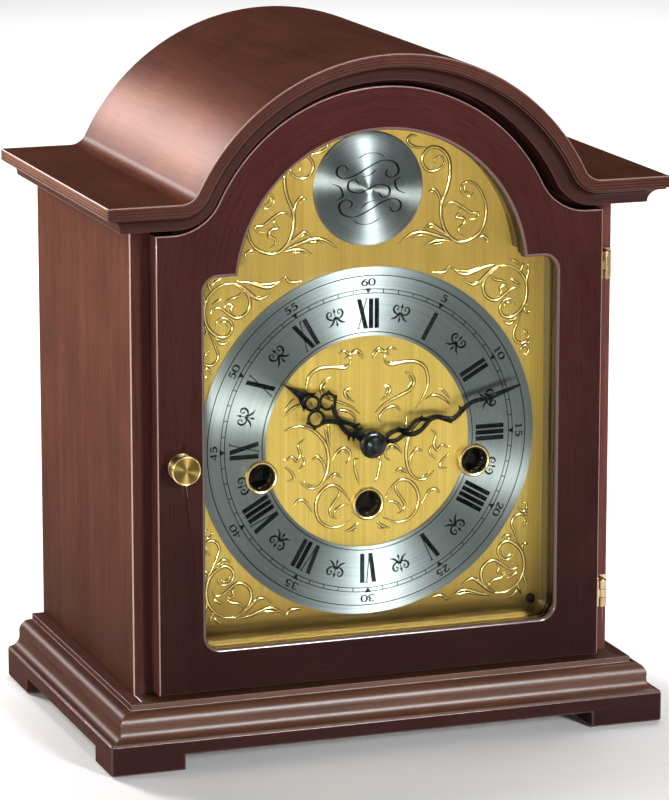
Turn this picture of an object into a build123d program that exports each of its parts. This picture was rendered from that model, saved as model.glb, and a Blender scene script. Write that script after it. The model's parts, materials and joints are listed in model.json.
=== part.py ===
from build123d import *
import math
import os

os.makedirs("parts", exist_ok=True)

# ------------------------------------------------------------------ driving dimensions (mm)
# Frame: X to the right of the dial, front of the clock at -Y, Z up, floor at Z 0.
# plinth and base moulding
plinth_half_w = 129.7
plinth_front_y = -84.3
back_y = 85.8
plinth_h = 13.5
plinth_board_w = 30.0
foot_cut_h = 6.9
foot_front_len = 33.8
foot_side_front_len = 25.5
foot_side_rear_len = 31.8
mould_top_z = 28.9
mould_run_side = 12.0
mould_run_front = 9.0
# case
case_half_w = 112.0
case_front_y = -59.8
side_t = 12.0
base_top_z = 22.0
frame_back_y = -51.0
back_panel_y = 77.3
# arched top and cornice
top_half_w = 129.0
top_front_y = -85.8
wing_z = 250.05
arch_zc = 210.9
arch_r = 99.1
arch_fillet_r = 8.0
top_t = 5.3
cove_off = 12.45
cove_back_step = 1.2
cove_bottom_run = 7.5
# front door
door_half_w = 103.5
door_front_y = -71.0
door_back_y = -60.3
door_bottom_z = 30.2
door_off = 15.95
open_half_w = 81.8
open_bottom_z = 49.2
open_shoulder_z = 214.6
open_arch_r = 66.8
open_arch_zc = 207.9
open_corner_r = 6.5
rebate = 5.0
glass_y0, glass_y1 = -66.0, -64.0
knob_x, knob_z = -93.0, 132.5
# door hinges
pin_x, pin_y = 106.4, -69.0
pin_r = 0.9
knuckle_r = 1.9
hinge_zs = (58.0, 208.7)
# rear door
rear_half_w = 82.2
rear_z0, rear_z1 = 38.0, 200.0
rear_pin_x, rear_pin_y = 81.7, 83.6
rear_hinge_zs = (70.0, 168.0)
# dial
cz = 132.5
dial_y = -51.0
dial_t = 1.0
ring_t = 0.8
ring_r_out, ring_r_in = 78.8, 48.0
boss_z, boss_r = 246.2, 25.5
bush_r, bush_hole_r, bush_tube_r = 7.65, 5.9, 6.6
wind_side_x, wind_side_dz = 50.2, -12.3
wind_mid_dz = -28.35
# hands, angles clockwise from twelve
minute_deg = 72.6
hour_deg = 300.0 + minute_deg / 12.0
hour_hand_y = (-56.3, -55.5)
minute_hand_y = (-58.4, -57.6)
arbor_r = 1.5
# movement
fp_y = (-38.0, -36.2)
bp_y = (4.0, 5.8)
plate_half_w = 64.0
plate_dz = (-42.0, 66.0)
great_n, great_pin_n, great_m = 69, 12, 0.7
centre_n, third_pin_n, centre_m = 72, 12, 0.5
third_n, escape_pin_n, third_m = 60, 12, 0.45
cannon_n, minute_n, cannon_m = 16, 48, 0.6
mpin_n, hour_n, mpin_m = 12, 48, 0.64
barrel_r = 22.0
barrel_y = (-26.0, -8.0)
great_y = (-8.0, -5.0)
pinion_y = (-9.5, -3.5)
run_fit = 0.05
# chime
rod_ys = (16.0, 26.0, 36.0, 46.0)
rod_z, rod_r = 52.0, 2.2
hammer_x, hammer_dz = 28.0, -2.0


# ------------------------------------------------------------------ helpers
def box(x0, x1, y0, y1, z0, z1):
    return Pos((x0 + x1) / 2, (y0 + y1) / 2, (z0 + z1) / 2) * Box(x1 - x0, y1 - y0, z1 - z0)


def cyl_y(x, z, y0, y1, r):
    return Pos(x, (y0 + y1) / 2, z) * Rot(90, 0, 0) * Cylinder(r, y1 - y0)


def cyl_z(x, y, z0, z1, r):
    return Pos(x, y, (z0 + z1) / 2) * Cylinder(r, z1 - z0)


def cyl_x(y, z, x0, x1, r):
    return Pos((x0 + x1) / 2, y, z) * Rot(0, 90, 0) * Cylinder(r, x1 - x0)


def poly(pts):
    return make_face(Polyline(*pts, close=True))


def slab_y(face, y0, y1):
    """Face drawn in X and Z, made solid from y0 to y1."""
    pl = Plane(origin=(0, y1, 0), x_dir=(1, 0, 0), z_dir=(0, -1, 0))
    return extrude(pl * face, amount=y1 - y0, dir=(0, -1, 0))


def slab_x(face, x0, x1):
    """Face drawn in Y and Z, made solid from x0 to x1."""
    pl = Plane(origin=(x0, 0, 0), x_dir=(0, 1, 0), z_dir=(1, 0, 0))
    return extrude(pl * face, amount=x1 - x0, dir=(1, 0, 0))


def slab_z(face, z0, z1):
    return extrude(Pos(0, 0, z0) * face, amount=z1 - z0, dir=(0, 0, 1))


def mirror_x(shape):
    return mirror(shape, about=Plane.YZ)


def turned(profile, x, y, z):
    """A turned piece: (radius, height) points, height grows towards the front from y."""
    f = make_face(Polyline(*profile, close=True))
    return Pos(x, y, z) * Rot(180, 0, 0) * revolve(f, Axis.Y)


def save(name, *shapes):
    solids = [s for sh in shapes for s in sh.solids()]
    obj = solids[0] if len(solids) == 1 else Compound(solids)
    export_step(obj, "parts/" + name + ".step")
    return solids


# The arched line: flat wings, concave fillets and the round arch, moved inwards by off.
fil_z = wing_z + arch_fillet_r
fil_x = math.sqrt((arch_r + arch_fillet_r) ** 2 - (fil_z - arch_zc) ** 2)
fil_dx = fil_x / (arch_r + arch_fillet_r)
fil_dz = (fil_z - arch_zc) / (arch_r + arch_fillet_r)


def arch_edges(off, xw):
    R = arch_r - off
    r = arch_fillet_r + off
    z = wing_z - off
    t = (R * fil_dx, arch_zc + R * fil_dz)
    mx, mz = -fil_dx, -1.0 - fil_dz
    n = math.hypot(mx, mz)
    m = (fil_x + r * mx / n, fil_z + r * mz / n)
    return [
        Line((-xw, z), (-fil_x, z)),
        ThreePointArc((-fil_x, z), (-m[0], m[1]), (-t[0], t[1])),
        ThreePointArc((-t[0], t[1]), (0, arch_zc + R), t),
        ThreePointArc(t, m, (fil_x, z)),
        Line((fil_x, z), (xw, z)),
    ]


def arch_face(off, xw, z0):
    z = wing_z - off
    return make_face(
        arch_edges(off, xw)
        + [Line((xw, z), (xw, z0)), Line((xw, z0), (-xw, z0)), Line((-xw, z0), (-xw, z))]
    )


def opening_face(g):
    """The break-arch opening, grown by g on every side."""
    xo, zb, zs, R = open_half_w + g, open_bottom_z - g, open_shoulder_z + g, open_arch_r + g
    r = open_corner_r
    xi = math.sqrt(R * R - (zs - open_arch_zc) ** 2)
    c = r * (1 - math.sqrt(0.5))
    return make_face(
        [
            Line((-xo + r, zb), (xo - r, zb)),
            ThreePointArc((xo - r, zb), (xo - c, zb + c), (xo, zb + r)),
            Line((xo, zb + r), (xo, zs - r)),
            ThreePointArc((xo, zs - r), (xo - c, zs - c), (xo - r, zs)),
            Line((xo - r, zs), (xi, zs)),
            ThreePointArc((xi, zs), (0, open_arch_zc + R), (-xi, zs)),
            Line((-xi, zs), (-xo + r, zs)),
            ThreePointArc((-xo + r, zs), (-xo + c, zs - c), (-xo, zs - r)),
            Line((-xo, zs - r), (-xo, zb + r)),
            ThreePointArc((-xo, zb + r), (-xo + c, zb + c), (-xo + r, zb)),
        ]
    )


# Toothed wheels. Teeth are straight sided, with side shake at every phase.
def gear_pts(n, m, wheel, phase):
    rp = n * m / 2
    p = 2 * math.pi / n
    wr = 0.26 if wheel else 0.22
    wt = 0.09 if wheel else 0.08
    rows = ((rp - 1.15 * m, -wr), (rp, -0.185), (rp + 0.8 * m, -wt), (rp + 0.8 * m, wt), (rp, 0.185), (rp - 1.15 * m, wr))
    return [(r * math.cos(phase + (i + w) * p), r * math.sin(phase + (i + w) * p)) for i in range(n) for r, w in rows]


def mesh_phase(phase_a, n_a, theta, n_b):
    """Phase of wheel b, seen at angle theta from wheel a, that puts its gap on a tooth of a."""
    u = (phase_a - theta) * n_a / (2 * math.pi)
    return theta + math.pi - (u + 0.5) * 2 * math.pi / n_b


def pinion(n, m, phase, x, z, y0, y1):
    return Pos(x, 0, z) * slab_y(poly(gear_pts(n, m, False, phase)), y0, y1)


def spoked_wheel(n, m, phase, x, z, y0, y1, bore, spokes, hub, rim):
    """A toothed wheel with crossings cut out between hub and rim."""
    rp = n * m / 2
    f = poly(gear_pts(n, m, True, phase))
    body = slab_y(f, y0, y1) - cyl_y(0, 0, y0 - 1, y1 + 1, bore)
    ro = rp - 1.15 * m - rim
    if spokes:
        gap = 1.3
        for i in range(spokes):
            a0 = 2 * math.pi * i / spokes + math.asin(gap / hub)
            a1 = 2 * math.pi * (i + 1) / spokes - math.asin(gap / hub)
            b0 = 2 * math.pi * i / spokes + math.asin(gap / ro)
            b1 = 2 * math.pi * (i + 1) / spokes - math.asin(gap / ro)
            am, bm = (a0 + a1) / 2, (b0 + b1) / 2

            def pt(r, a):
                return (r * math.cos(a), r * math.sin(a))

            cut = make_face(
                [
                    Line(pt(hub, a0), pt(ro, b0)),
                    ThreePointArc(pt(ro, b0), pt(ro, bm), pt(ro, b1)),
                    Line(pt(ro, b1), pt(hub, a1)),
                    ThreePointArc(pt(hub, a1), pt(hub, am), pt(hub, a0)),
                ]
            )
            body -= slab_y(cut, y0 - 1, y1 + 1)
    return Pos(x, 0, z) * body


def ribbon(pts):
    """A flat stroke: (along, aside, half width) points."""
    left, right = [], []
    for i, (v, u, w) in enumerate(pts):
        a, b = pts[max(i - 1, 0)], pts[min(i + 1, len(pts) - 1)]
        dv, du = b[0] - a[0], b[1] - a[1]
        n = math.hypot(dv, du)
        left.append((v - du / n * w, u + dv / n * w))
        right.append((v + du / n * w, u - dv / n * w))
    return left + right[::-1]


def hand_face(pts, deg):
    a = math.radians(deg)
    return poly([(v * math.sin(a) - u * math.cos(a), v * math.cos(a) + u * math.sin(a)) for v, u in pts])


def hand_disc(v, u, r, deg):
    a = math.radians(deg)
    return Pos(v * math.sin(a) - u * math.cos(a), v * math.cos(a) + u * math.sin(a)) * Circle(r)


# ------------------------------------------------------------------ plinth
pw, pf, pb = plinth_half_w, plinth_front_y, plinth_board_w
mitre = slab_z(poly([(pw + pb, pf - pb), (pw - pb, pf + pb), (pw - pb, back_y + 20), (pw + pb, back_y + 20)]), -5, 60)
front = box(-pw, pw, pf, pf + pb, 0, plinth_h)
front -= box(-pw + foot_front_len, pw - foot_front_len, pf - 1, pf + pb + 1, -1, foot_cut_h)
front -= mitre
front -= mirror_x(mitre)
save("plinth_front", front)
side = box(pw - pb, pw, pf, back_y, 0, plinth_h)
side -= box(pw - pb - 1, pw + 1, pf + foot_side_front_len, back_y - foot_side_rear_len, -1, foot_cut_h)
side = side & mitre
rear = box(-pw + pb, pw - pb, back_y - pb, back_y, foot_cut_h, plinth_h)
save("plinth_returns", side, mirror_x(side), rear)


# ------------------------------------------------------------------ base moulding
def mould_profile(origin, run, inner):
    """Ogee section: fillet, ovolo and cavetto from the inner face out to the plinth edge."""

    def p(t, z):
        return (origin + run * t, z)

    q = math.sqrt(0.5)
    return make_face(
        [
            Line((inner, plinth_h), (inner, mould_top_z)),
            Line((inner, mould_top_z), p(1, mould_top_z)),
            Line(p(1, mould_top_z), p(1, 26.2)),
            Line(p(1, 26.2), p(0.78, 26.0)),
            ThreePointArc(p(0.78, 26.0), p(0.78 - 0.31 * q, 20.0 + 6.0 * q), p(0.47, 20.0)),
            Line(p(0.47, 20.0), p(0.47, 19.0)),
            ThreePointArc(p(0.47, 19.0), p(0.05 + 0.42 * q, 19.0 - 5.0 * q), p(0.05, 14.0)),
            Line(p(0.05, 14.0), p(0.03, plinth_h)),
            Line(p(0.03, plinth_h), (inner, plinth_h)),
        ]
    )


k = (pw - case_half_w) / mould_run_side
mould_cut = slab_z(
    poly(
        [
            (pw + 2 * mould_run_side, pf - 2 * mould_run_front),
            (case_half_w, pf + k * mould_run_front),
            (case_half_w, back_y + 20),
            (pw + 2 * mould_run_side, back_y + 20),
        ]
    ),
    0,
    60,
)
mf = slab_x(mould_profile(pf, mould_run_front, case_front_y), -pw, pw)
mf -= mould_cut
mf -= mirror_x(mould_cut)
save("base_moulding_front", mf)
ms = slab_y(mould_profile(pw, -mould_run_side, case_half_w), pf, back_y) & mould_cut
save("base_moulding_returns", ms, mirror_x(ms))

# ------------------------------------------------------------------ case boards
case_inner = case_half_w - side_t
save("base_board", box(-case_inner, case_inner, case_front_y, back_panel_y, plinth_h, base_top_z))
side_r = box(case_inner, case_half_w, case_front_y, back_y, plinth_h, wing_z - top_t)
side_l = mirror_x(side_r)

ff = slab_y(arch_face(top_t, case_inner, base_top_z) - opening_face(2.0), case_front_y, frame_back_y)
magnet = cyl_y(knob_x, knob_z, case_front_y, -53.0, 3.5)
ff -= magnet
save("front_frame", ff)
save("door_magnet", magnet)

bf = slab_y(arch_face(top_t, case_inner, plinth_h), back_panel_y, back_y)
bf -= box(-rear_half_w, rear_half_w, back_panel_y - 1, back_y + 1, rear_z0, rear_z1)
for z in rear_hinge_zs:
    bf -= box(81, 84.4, 81.3, back_y + 1, z - 6.5, z + 6.5)
    bf -= box(84.4, 95.0, back_y - 0.7, back_y + 1, z - 6.0, z + 6.0)
save("back_frame", bf)

z0, z1 = wing_z, wing_z - top_t
top_face = make_face(
    arch_edges(0, top_half_w)
    + arch_edges(top_t, top_half_w)
    + [Line((-top_half_w, z0), (-top_half_w, z1)), Line((top_half_w, z0), (top_half_w, z1))]
)
save("arched_top", slab_y(top_face, top_front_y, back_y))


# ------------------------------------------------------------------ cornice coves
def cove_face(outer, inner, s):
    """Cove section seen from the end. s is the direction from the outer edge inwards."""
    q = math.sqrt(0.5)
    zt, zb = wing_z - top_t, wing_z - cove_off
    a = outer + s * cove_back_step
    b = outer + s * cove_bottom_run
    zc0, zc1 = zt - 0.85, zb + 0.5
    return make_face(
        [
            Line((inner, zb), (inner, zt)),
            Line((inner, zt), (a, zt)),
            Line((a, zt), (a, zc0)),
            ThreePointArc((a, zc0), (a + (b - a) * q, zc1 + (zc0 - zc1) * q), (b, zc1)),
            Line((b, zc1), (b, zb)),
            Line((b, zb), (inner, zb)),
        ]
    )


d = top_half_w - case_half_w
cove_cut = slab_z(
    poly(
        [
            (top_half_w + 20, top_front_y - 20),
            (case_half_w, top_front_y + d),
            (case_half_w, back_y + 20),
            (top_half_w + 20, back_y + 20),
        ]
    ),
    200,
    300,
)
path_plane = Plane(origin=(0, 0, 0), x_dir=(1, 0, 0), z_dir=(0, -1, 0))
path = Wire([path_plane * e for e in arch_edges(top_t, top_half_w)])
section = Plane(origin=(-top_half_w, 0, 0), x_dir=(0, 1, 0), z_dir=(1, 0, 0)) * cove_face(top_front_y, case_front_y, 1)
cf = sweep(section, path=path)
cf -= cove_cut
cf -= mirror_x(cove_cut)
save("cornice_cove_front", cf)
cs = slab_y(cove_face(top_half_w, case_half_w, -1), top_front_y, back_y) & cove_cut
save("cornice_cove_returns", cs, mirror_x(cs))

# ------------------------------------------------------------------ front door
door = slab_y(arch_face(door_off, door_half_w, door_bottom_z) - opening_face(0), door_front_y, door_back_y)
door -= slab_y(opening_face(rebate), glass_y0, door_back_y + 1)
strike = cyl_y(knob_x, knob_z, door_back_y - 0.8, door_back_y, 4.0)
door -= strike
knob_stem = cyl_y(knob_x, knob_z, door_front_y, door_front_y + 7.0, 1.6)
door -= knob_stem
save("door_strike_plate", strike)
save("door_glass", slab_y(opening_face(rebate - 0.3), glass_y0, glass_y1))
save("glass_retainer", slab_y(opening_face(rebate - 0.1) - opening_face(0.6), glass_y1, -61.2))
knob = turned(
    [(0, 0), (5.7, 0), (6.0, 0.4), (6.0, 1.2), (5.3, 1.7), (3.4, 2.5), (3.1, 3.6), (3.6, 4.8), (5.4, 5.7), (6.3, 6.1), (6.5, 6.6), (6.5, 8.0), (6.2, 8.4), (0, 8.4)],
    knob_x,
    door_front_y,
    knob_z,
)
save("door_knob", knob + knob_stem)

# hinges: leaves, pins and screws
case_leaves, door_leaves, pins, brass = [], [], [], []
for z in hinge_zs:
    axis_bore = cyl_z(pin_x, pin_y, z - 10, z + 10, pin_r)
    leaf = box(pin_x - 1.8, case_half_w - 0.2, case_front_y - 0.8, case_front_y, z - 6, z + 6)
    for a, b in ((-6, -2.1), (2.1, 6)):
        leaf += box(pin_x + 1.1, pin_x + knuckle_r, pin_y, case_front_y - 0.8, z + a, z + b)
        leaf += cyl_z(pin_x, pin_y, z + a, z + b, knuckle_r)
    leaf -= axis_bore
    for dz in (-3.6, 3.6):
        s = cyl_y(110.3, z + dz, case_front_y - 0.8, case_front_y, 1.3) + cyl_y(110.3, z + dz, case_front_y, -52, 0.8)
        leaf -= s
        side_r -= s
        brass.append(s)
    case_leaves.append(leaf)
    pins.append(cyl_z(pin_x, pin_y, z - 6.4, z + 6.4, pin_r))
    dl = box(door_half_w, door_half_w + 0.7, pin_y - 1.2, door_back_y - 0.9, z - 6, z + 6)
    dl += box(door_half_w + 0.7, pin_x, pin_y - 1.1, pin_y + 1.1, z - 1.8, z + 1.8)
    dl += cyl_z(pin_x, pin_y, z - 1.8, z + 1.8, knuckle_r)
    dl -= cyl_z(pin_x, pin_y, z - 10, z + 10, pin_r + run_fit)
    for dz in (-3.6, 3.6):
        s = cyl_x(-63.6, z + dz, door_half_w, door_half_w + 0.7, 1.3) + cyl_x(-63.6, z + dz, 95.5, door_half_w, 0.8)
        dl -= s
        door -= s
        door_leaves.append(s)
    door_leaves.append(dl)
save("door_frame", door)

# ------------------------------------------------------------------ rear door
rd = box(-rear_half_w + 0.6, rear_half_w - 1.0, 79.6, rear_pin_y, rear_z0 + 0.5, rear_z1 - 0.5)
for i in range(7):
    x = -45 + 15 * i
    rd -= box(x - 2.5, x + 2.5, 70, 90, 62.5, 137.5)
    for z in (62.5, 137.5):
        rd -= cyl_y(x, z, 70, 90, 2.5)
rd -= cyl_y(-68, 119, 70, 90, 8.0)
rear_leaves = []
for z in rear_hinge_zs:
    rd -= box(79.3, 84, 81.3, 90, z - 6.5, z + 6.5)
    axis_bore = cyl_z(rear_pin_x, rear_pin_y, z - 10, z + 10, pin_r)
    leaf = box(84.4, 95.0, back_y - 0.7, back_y, z - 6, z + 6)
    for a, b in ((-6, -2.1), (2.1, 6)):
        leaf += box(rear_pin_x, 84.4, back_y - 0.7, back_y, z + a, z + b)
        leaf += cyl_z(rear_pin_x, rear_pin_y, z + a, z + b, 1.8)
        leaf += box(rear_pin_x, rear_pin_x + 1.8, rear_pin_y, back_y, z + a, z + b)
    case_leaves.append(leaf - axis_bore)
    pins.append(cyl_z(rear_pin_x, rear_pin_y, z - 6.3, z + 6.3, pin_r))
    dl = box(66.0, rear_pin_x - 3.2, rear_pin_y, rear_pin_y + 0.7, z - 6, z + 6)
    dl += box(rear_pin_x - 3.3, rear_pin_x, rear_pin_y, rear_pin_y + 0.7, z - 1.8, z + 1.8)
    dl += cyl_z(rear_pin_x, rear_pin_y, z - 1.8, z + 1.8, 1.8)
    dl -= cyl_z(rear_pin_x, rear_pin_y, z - 10, z + 10, pin_r + run_fit)
    rear_leaves.append(dl)
save("rear_door", rd)
save("rear_hinge_leaves", *rear_leaves)
save("case_hinge_leaves", *case_leaves)
save("door_hinge_leaves", *door_leaves)
save("hinge_pins", *pins)
save("brass_screws", *brass)

# ------------------------------------------------------------------ dial
winds = ((-wind_side_x, cz + wind_side_dz), (wind_side_x, cz + wind_side_dz), (0.0, cz + wind_mid_dz))
dial = slab_y(opening_face(4.2), dial_y, dial_y + dial_t) - cyl_y(0, cz, -60, -40, 4.0)
ring = cyl_y(0, cz, dial_y - ring_t, dial_y, ring_r_out) - cyl_y(0, cz, -60, -40, ring_r_in)
bushes = []
for i, (x, z) in enumerate(winds):
    hole = cyl_y(x, z, -60, -40, bush_tube_r)
    dial -= hole
    ring -= hole
    seat = dial_y - (ring_t if i < 2 else 0.0)
    tube = seat - (dial_y + dial_t + 1.5)
    bushes.append(
        turned(
            [(bush_hole_r, tube), (bush_tube_r, tube), (bush_tube_r, 0), (bush_r, 0), (bush_r, 0.7), (bush_r - 0.3, 1.3), (bush_r - 0.85, 1.65), (bush_hole_r + 0.35, 1.45), (bush_hole_r, 0.9)],
            x,
            seat,
            z,
        )
    )
dial_screws = []
for x in (-78.6, 78.6):
    s = cyl_y(x, 53.4, dial_y - 1.1, dial_y, 2.2) - box(x - 2.3, x + 2.3, dial_y - 2, dial_y - 0.6, 53.05, 53.75)
    s += cyl_y(x, 53.4, dial_y, dial_y + 4.0, 1.1)
    dial -= cyl_y(x, 53.4, -60, -40, 1.1)
    dial_screws.append(s)
save("dial_plate", dial)
save("chapter_ring", ring)
save("winding_bushes", *bushes)
save("dial_screws", *dial_screws)
boss = turned([(0, 0), (boss_r, 0), (boss_r, 0.5), (boss_r - 0.5, 0.9), (boss_r - 6, 1.25), (0, 1.5)], 0, dial_y, boss_z)
save("arch_boss", boss)

# ------------------------------------------------------------------ hands
t = minute_deg
faces = [
    hand_disc(0, 0, 4.4, t),
    hand_face(ribbon([(2.5, 0, 1.8), (7.6, -0.1, 1.2)]), t),
    hand_face(ribbon([(6.3, 0.2, 0.7), (8.0, 1.3, 0.75), (10.0, 1.9, 0.75), (12.5, 1.8, 0.7), (15.4, 0.7, 0.75)]), t),
    hand_face(ribbon([(6.3, -0.4, 0.7), (8.0, -1.7, 0.75), (10.0, -2.3, 0.75), (12.5, -2.1, 0.7), (15.6, -0.9, 0.8)]), t),
    hand_face(ribbon([(15.0, 0.4, 0.9), (13.9, 2.0, 0.55), (13.3, 3.2, 0.2)]), t),
    hand_face(ribbon([(15.4, -0.5, 0.9), (17.2, -2.2, 0.6), (18.4, -3.6, 0.2)]), t),
    hand_face(ribbon([(14.8, 0.7, 0.75), (17.5, 0.4, 0.7), (19.6, 1.2, 0.7), (21.5, 2.4, 0.75), (23.6, 2.7, 0.7), (26.0, 1.9, 0.7), (28.2, 0.6, 0.8)]), t),
    hand_face(ribbon([(15.0, -0.8, 0.8), (17.5, -2.0, 0.8), (20.0, -2.7, 0.8), (23.0, -2.3, 0.75), (26.0, -0.8, 0.75), (28.2, 0.6, 0.8)]), t),
    hand_face(ribbon([(24.4, 2.4, 0.8), (25.6, 3.9, 0.2)]), t),
    hand_face(
        ribbon(
            [(27.6, 0.6, 0.9), (30.0, 0.9, 0.8), (32.6, 0.4, 0.8), (35.0, -1.2, 0.85), (36.9, -2.5, 0.95), (39.0, -2.9, 0.85), (41.2, -2.4, 0.8), (43.6, -1.2, 0.8), (46.1, 0.0, 0.75), (48.5, 0.7, 0.7), (50.8, 0.9, 0.7), (54.0, 0.5, 0.7), (57.0, 0.0, 0.85), (59.4, 0.0, 0.95), (62.0, 0.0, 0.8), (68.0, 0.0, 0.6), (73.5, 0.0, 0.35)]
        ),
        t,
    ),
    hand_face(ribbon([(36.4, -2.2, 0.8), (37.0, -3.6, 0.5), (37.8, -4.6, 0.2)]), t),
    hand_face(ribbon([(43.2, -1.4, 0.8), (43.6, 0.2, 0.5), (43.2, 1.6, 0.2)]), t),
    hand_face(ribbon([(59.0, 0.0, 0.8), (57.4, 1.4, 0.5), (56.2, 2.6, 0.2)]), t),
    hand_face(ribbon([(59.0, 0.0, 0.8), (58.2, -1.8, 0.5), (57.4, -3.2, 0.2)]), t),
]
flat = faces[0]
for f in faces[1:]:
    flat = flat + f
mh = Pos(0, 0, cz) * slab_y(flat, *minute_hand_y) - cyl_y(0, cz, -70, -40, arbor_r)
save("minute_hand", mh)

t = hour_deg
faces = [hand_disc(0, 0, 5.2, t), hand_face(ribbon([(3.5, 0, 2.0), (9.6, 0, 1.2)]), t)]
for s in (1, -1):
    faces += [
        hand_face(ribbon([(8.4, 0.3 * s, 0.8), (10.2, 1.7 * s, 0.85), (12.4, 2.1 * s, 0.8), (15.0, 1.5 * s, 0.8), (18.6, 0.2 * s, 0.9)]), t),
        hand_face(ribbon([(9.4, 0.8 * s, 0.8), (8.2, 2.5 * s, 0.5), (7.6, 3.6 * s, 0.2)]), t),
        hand_face(ribbon([(11.0, 2.0 * s, 0.8), (10.4, 3.5 * s, 0.5), (9.6, 4.6 * s, 0.2)]), t),
        hand_face(ribbon([(17.8, 0.2 * s, 0.9), (20.5, 1.1 * s, 0.85), (23.0, 2.5 * s, 0.85), (25.0, 4.2 * s, 0.85)]), t),
        hand_disc(28.5, 4.6 * s, 4.2, t) - hand_disc(28.5, 4.6 * s, 2.85, t),
        hand_disc(24.9, 4.4 * s, 1.25, t),
        hand_disc(26.6, 8.3 * s, 0.9, t),
        hand_disc(30.6, 8.3 * s, 0.8, t),
        hand_face(ribbon([(37.0, 2.2 * s, 0.9), (36.2, 3.6 * s, 0.5), (35.4, 4.8 * s, 0.2)]), t),
        hand_face(ribbon([(36.6, 2.9 * s, 0.7), (39.4, 1.9 * s, 0.75), (42.0, 0.9 * s, 0.9)]), t),
    ]
faces += [
    hand_disc(34.2, 0, 3.8, t) - hand_disc(34.2, 0, 2.5, t),
    hand_disc(30.6, 0, 1.1, t),
    hand_face([(41.2, 1.6), (44.0, 1.0), (47.0, 0.65), (51.6, 0.25), (51.6, -0.25), (47.0, -0.65), (44.0, -1.0), (41.2, -1.6)], t),
]
flat = faces[0]
for f in faces[1:]:
    flat = flat + f
hh = Pos(0, 0, cz) * slab_y(flat, *hour_hand_y) - cyl_y(0, cz, -70, -40, 3.0)
save("hour_hand", hh)
nut = turned(
    [(arbor_r, 0), (6.2, 0), (6.25, 0.4), (6.0, 0.9), (5.2, 1.3), (4.5, 1.5), (4.4, 2.3), (3.8, 3.2), (2.4, 3.8), (0, 4.0), (0, 2.6), (arbor_r, 2.6)],
    0,
    minute_hand_y[0],
    cz,
)
save("hand_nut", nut)

# ------------------------------------------------------------------ arbor places and phases
third_x, third_z = -12.0, math.sqrt(((centre_n + third_pin_n) * centre_m / 2) ** 2 - 144.0)
esc_d = (third_n + escape_pin_n) * third_m / 2
esc_x, esc_z = third_x + esc_d * 0.55, third_z + esc_d * math.sqrt(1 - 0.55**2)
pal_x, pal_z = esc_x, esc_z + 11.5
bal_x, bal_z = esc_x, 58.0
mot_d = (cannon_n + minute_n) * cannon_m / 2
mot_a = math.radians(20.0)
mot_x, mot_z = mot_d * math.cos(mot_a), mot_d * math.sin(mot_a)
sec_d = (great_n + great_pin_n) * great_m / 2
sec_x = 47.0
sec_z = wind_side_dz + math.sqrt(sec_d**2 - (wind_side_x - sec_x) ** 2)

ph_centre_pin = 0.0
ph_great_t = mesh_phase(ph_centre_pin, great_pin_n, -math.pi / 2, great_n)
ph_centre = 0.0
ph_third_pin = mesh_phase(ph_centre, centre_n, math.atan2(third_z, third_x), third_pin_n)
ph_third = 0.0
ph_esc_pin = mesh_phase(ph_third, third_n, math.atan2(esc_z - third_z, esc_x - third_x), escape_pin_n)
ph_cannon = 0.0
ph_minute = mesh_phase(ph_cannon, cannon_n, mot_a, minute_n)
ph_mpin = 0.0
ph_hour = mesh_phase(ph_mpin, mpin_n, mot_a + math.pi, hour_n)
ph_great_s = 0.0
ph_sec_r = mesh_phase(ph_great_s, great_n, math.atan2(sec_z - wind_side_dz, sec_x - wind_side_x), great_pin_n)
ph_sec_l = mesh_phase(ph_great_s, great_n, math.atan2(sec_z - wind_side_dz, wind_side_x - sec_x), great_pin_n)

# ------------------------------------------------------------------ motion work and centre arbor
ca = cyl_y(0, cz, -60.9, 3.9, arbor_r) + cyl_y(0, cz, 3.9, 5.6, 1.0)
ca += pinion(great_pin_n, great_m, ph_centre_pin, 0, cz, *pinion_y)
ca += pinion(cannon_n, cannon_m, ph_cannon, 0, cz, -43.4, -40.4)
cw = spoked_wheel(centre_n, centre_m, ph_centre, 0, cz, -31.5, -30.1, arbor_r, 5, 4.2, 2.0)
save("centre_arbor", ca, cw)
hw = spoked_wheel(hour_n, mpin_m, ph_hour, 0, cz, -47.5, -46.2, arbor_r + 0.08, 4, 5.2, 1.8)
hw += cyl_y(0, cz, -56.8, -43.9, 3.0) - cyl_y(0, cz, -70, -40, arbor_r + 0.08)
save("hour_wheel", hw)
mw = spoked_wheel(minute_n, cannon_m, ph_minute, mot_x, cz + mot_z, -43.0, -41.6, 1.2, 4, 4.4, 1.8)
mp = cyl_y(mot_x, cz + mot_z, -48.2, -40.0, 1.2) + cyl_y(mot_x, cz + mot_z, -40.0, -36.6, 1.0)
mp += pinion(mpin_n, mpin_m, ph_mpin, mot_x, cz + mot_z, -48.0, -45.4)
save("minute_wheel", mw, mp)


# ------------------------------------------------------------------ going train
def arbor(x, z, r, piv, back=3.8):
    return cyl_y(x, z, -36.0, back, r) + cyl_y(x, z, -37.9, -36.0, piv) + cyl_y(x, z, back, back + 1.8, piv)


tw = spoked_wheel(third_n, third_m, ph_third, third_x, cz + third_z, -20.0, -18.8, 1.1, 4, 3.2, 1.6)
ta = arbor(third_x, cz + third_z, 1.1, 0.7) + pinion(third_pin_n, centre_m, ph_third_pin, third_x, cz + third_z, -33.0, -28.8)
save("third_wheel", tw, ta)

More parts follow.
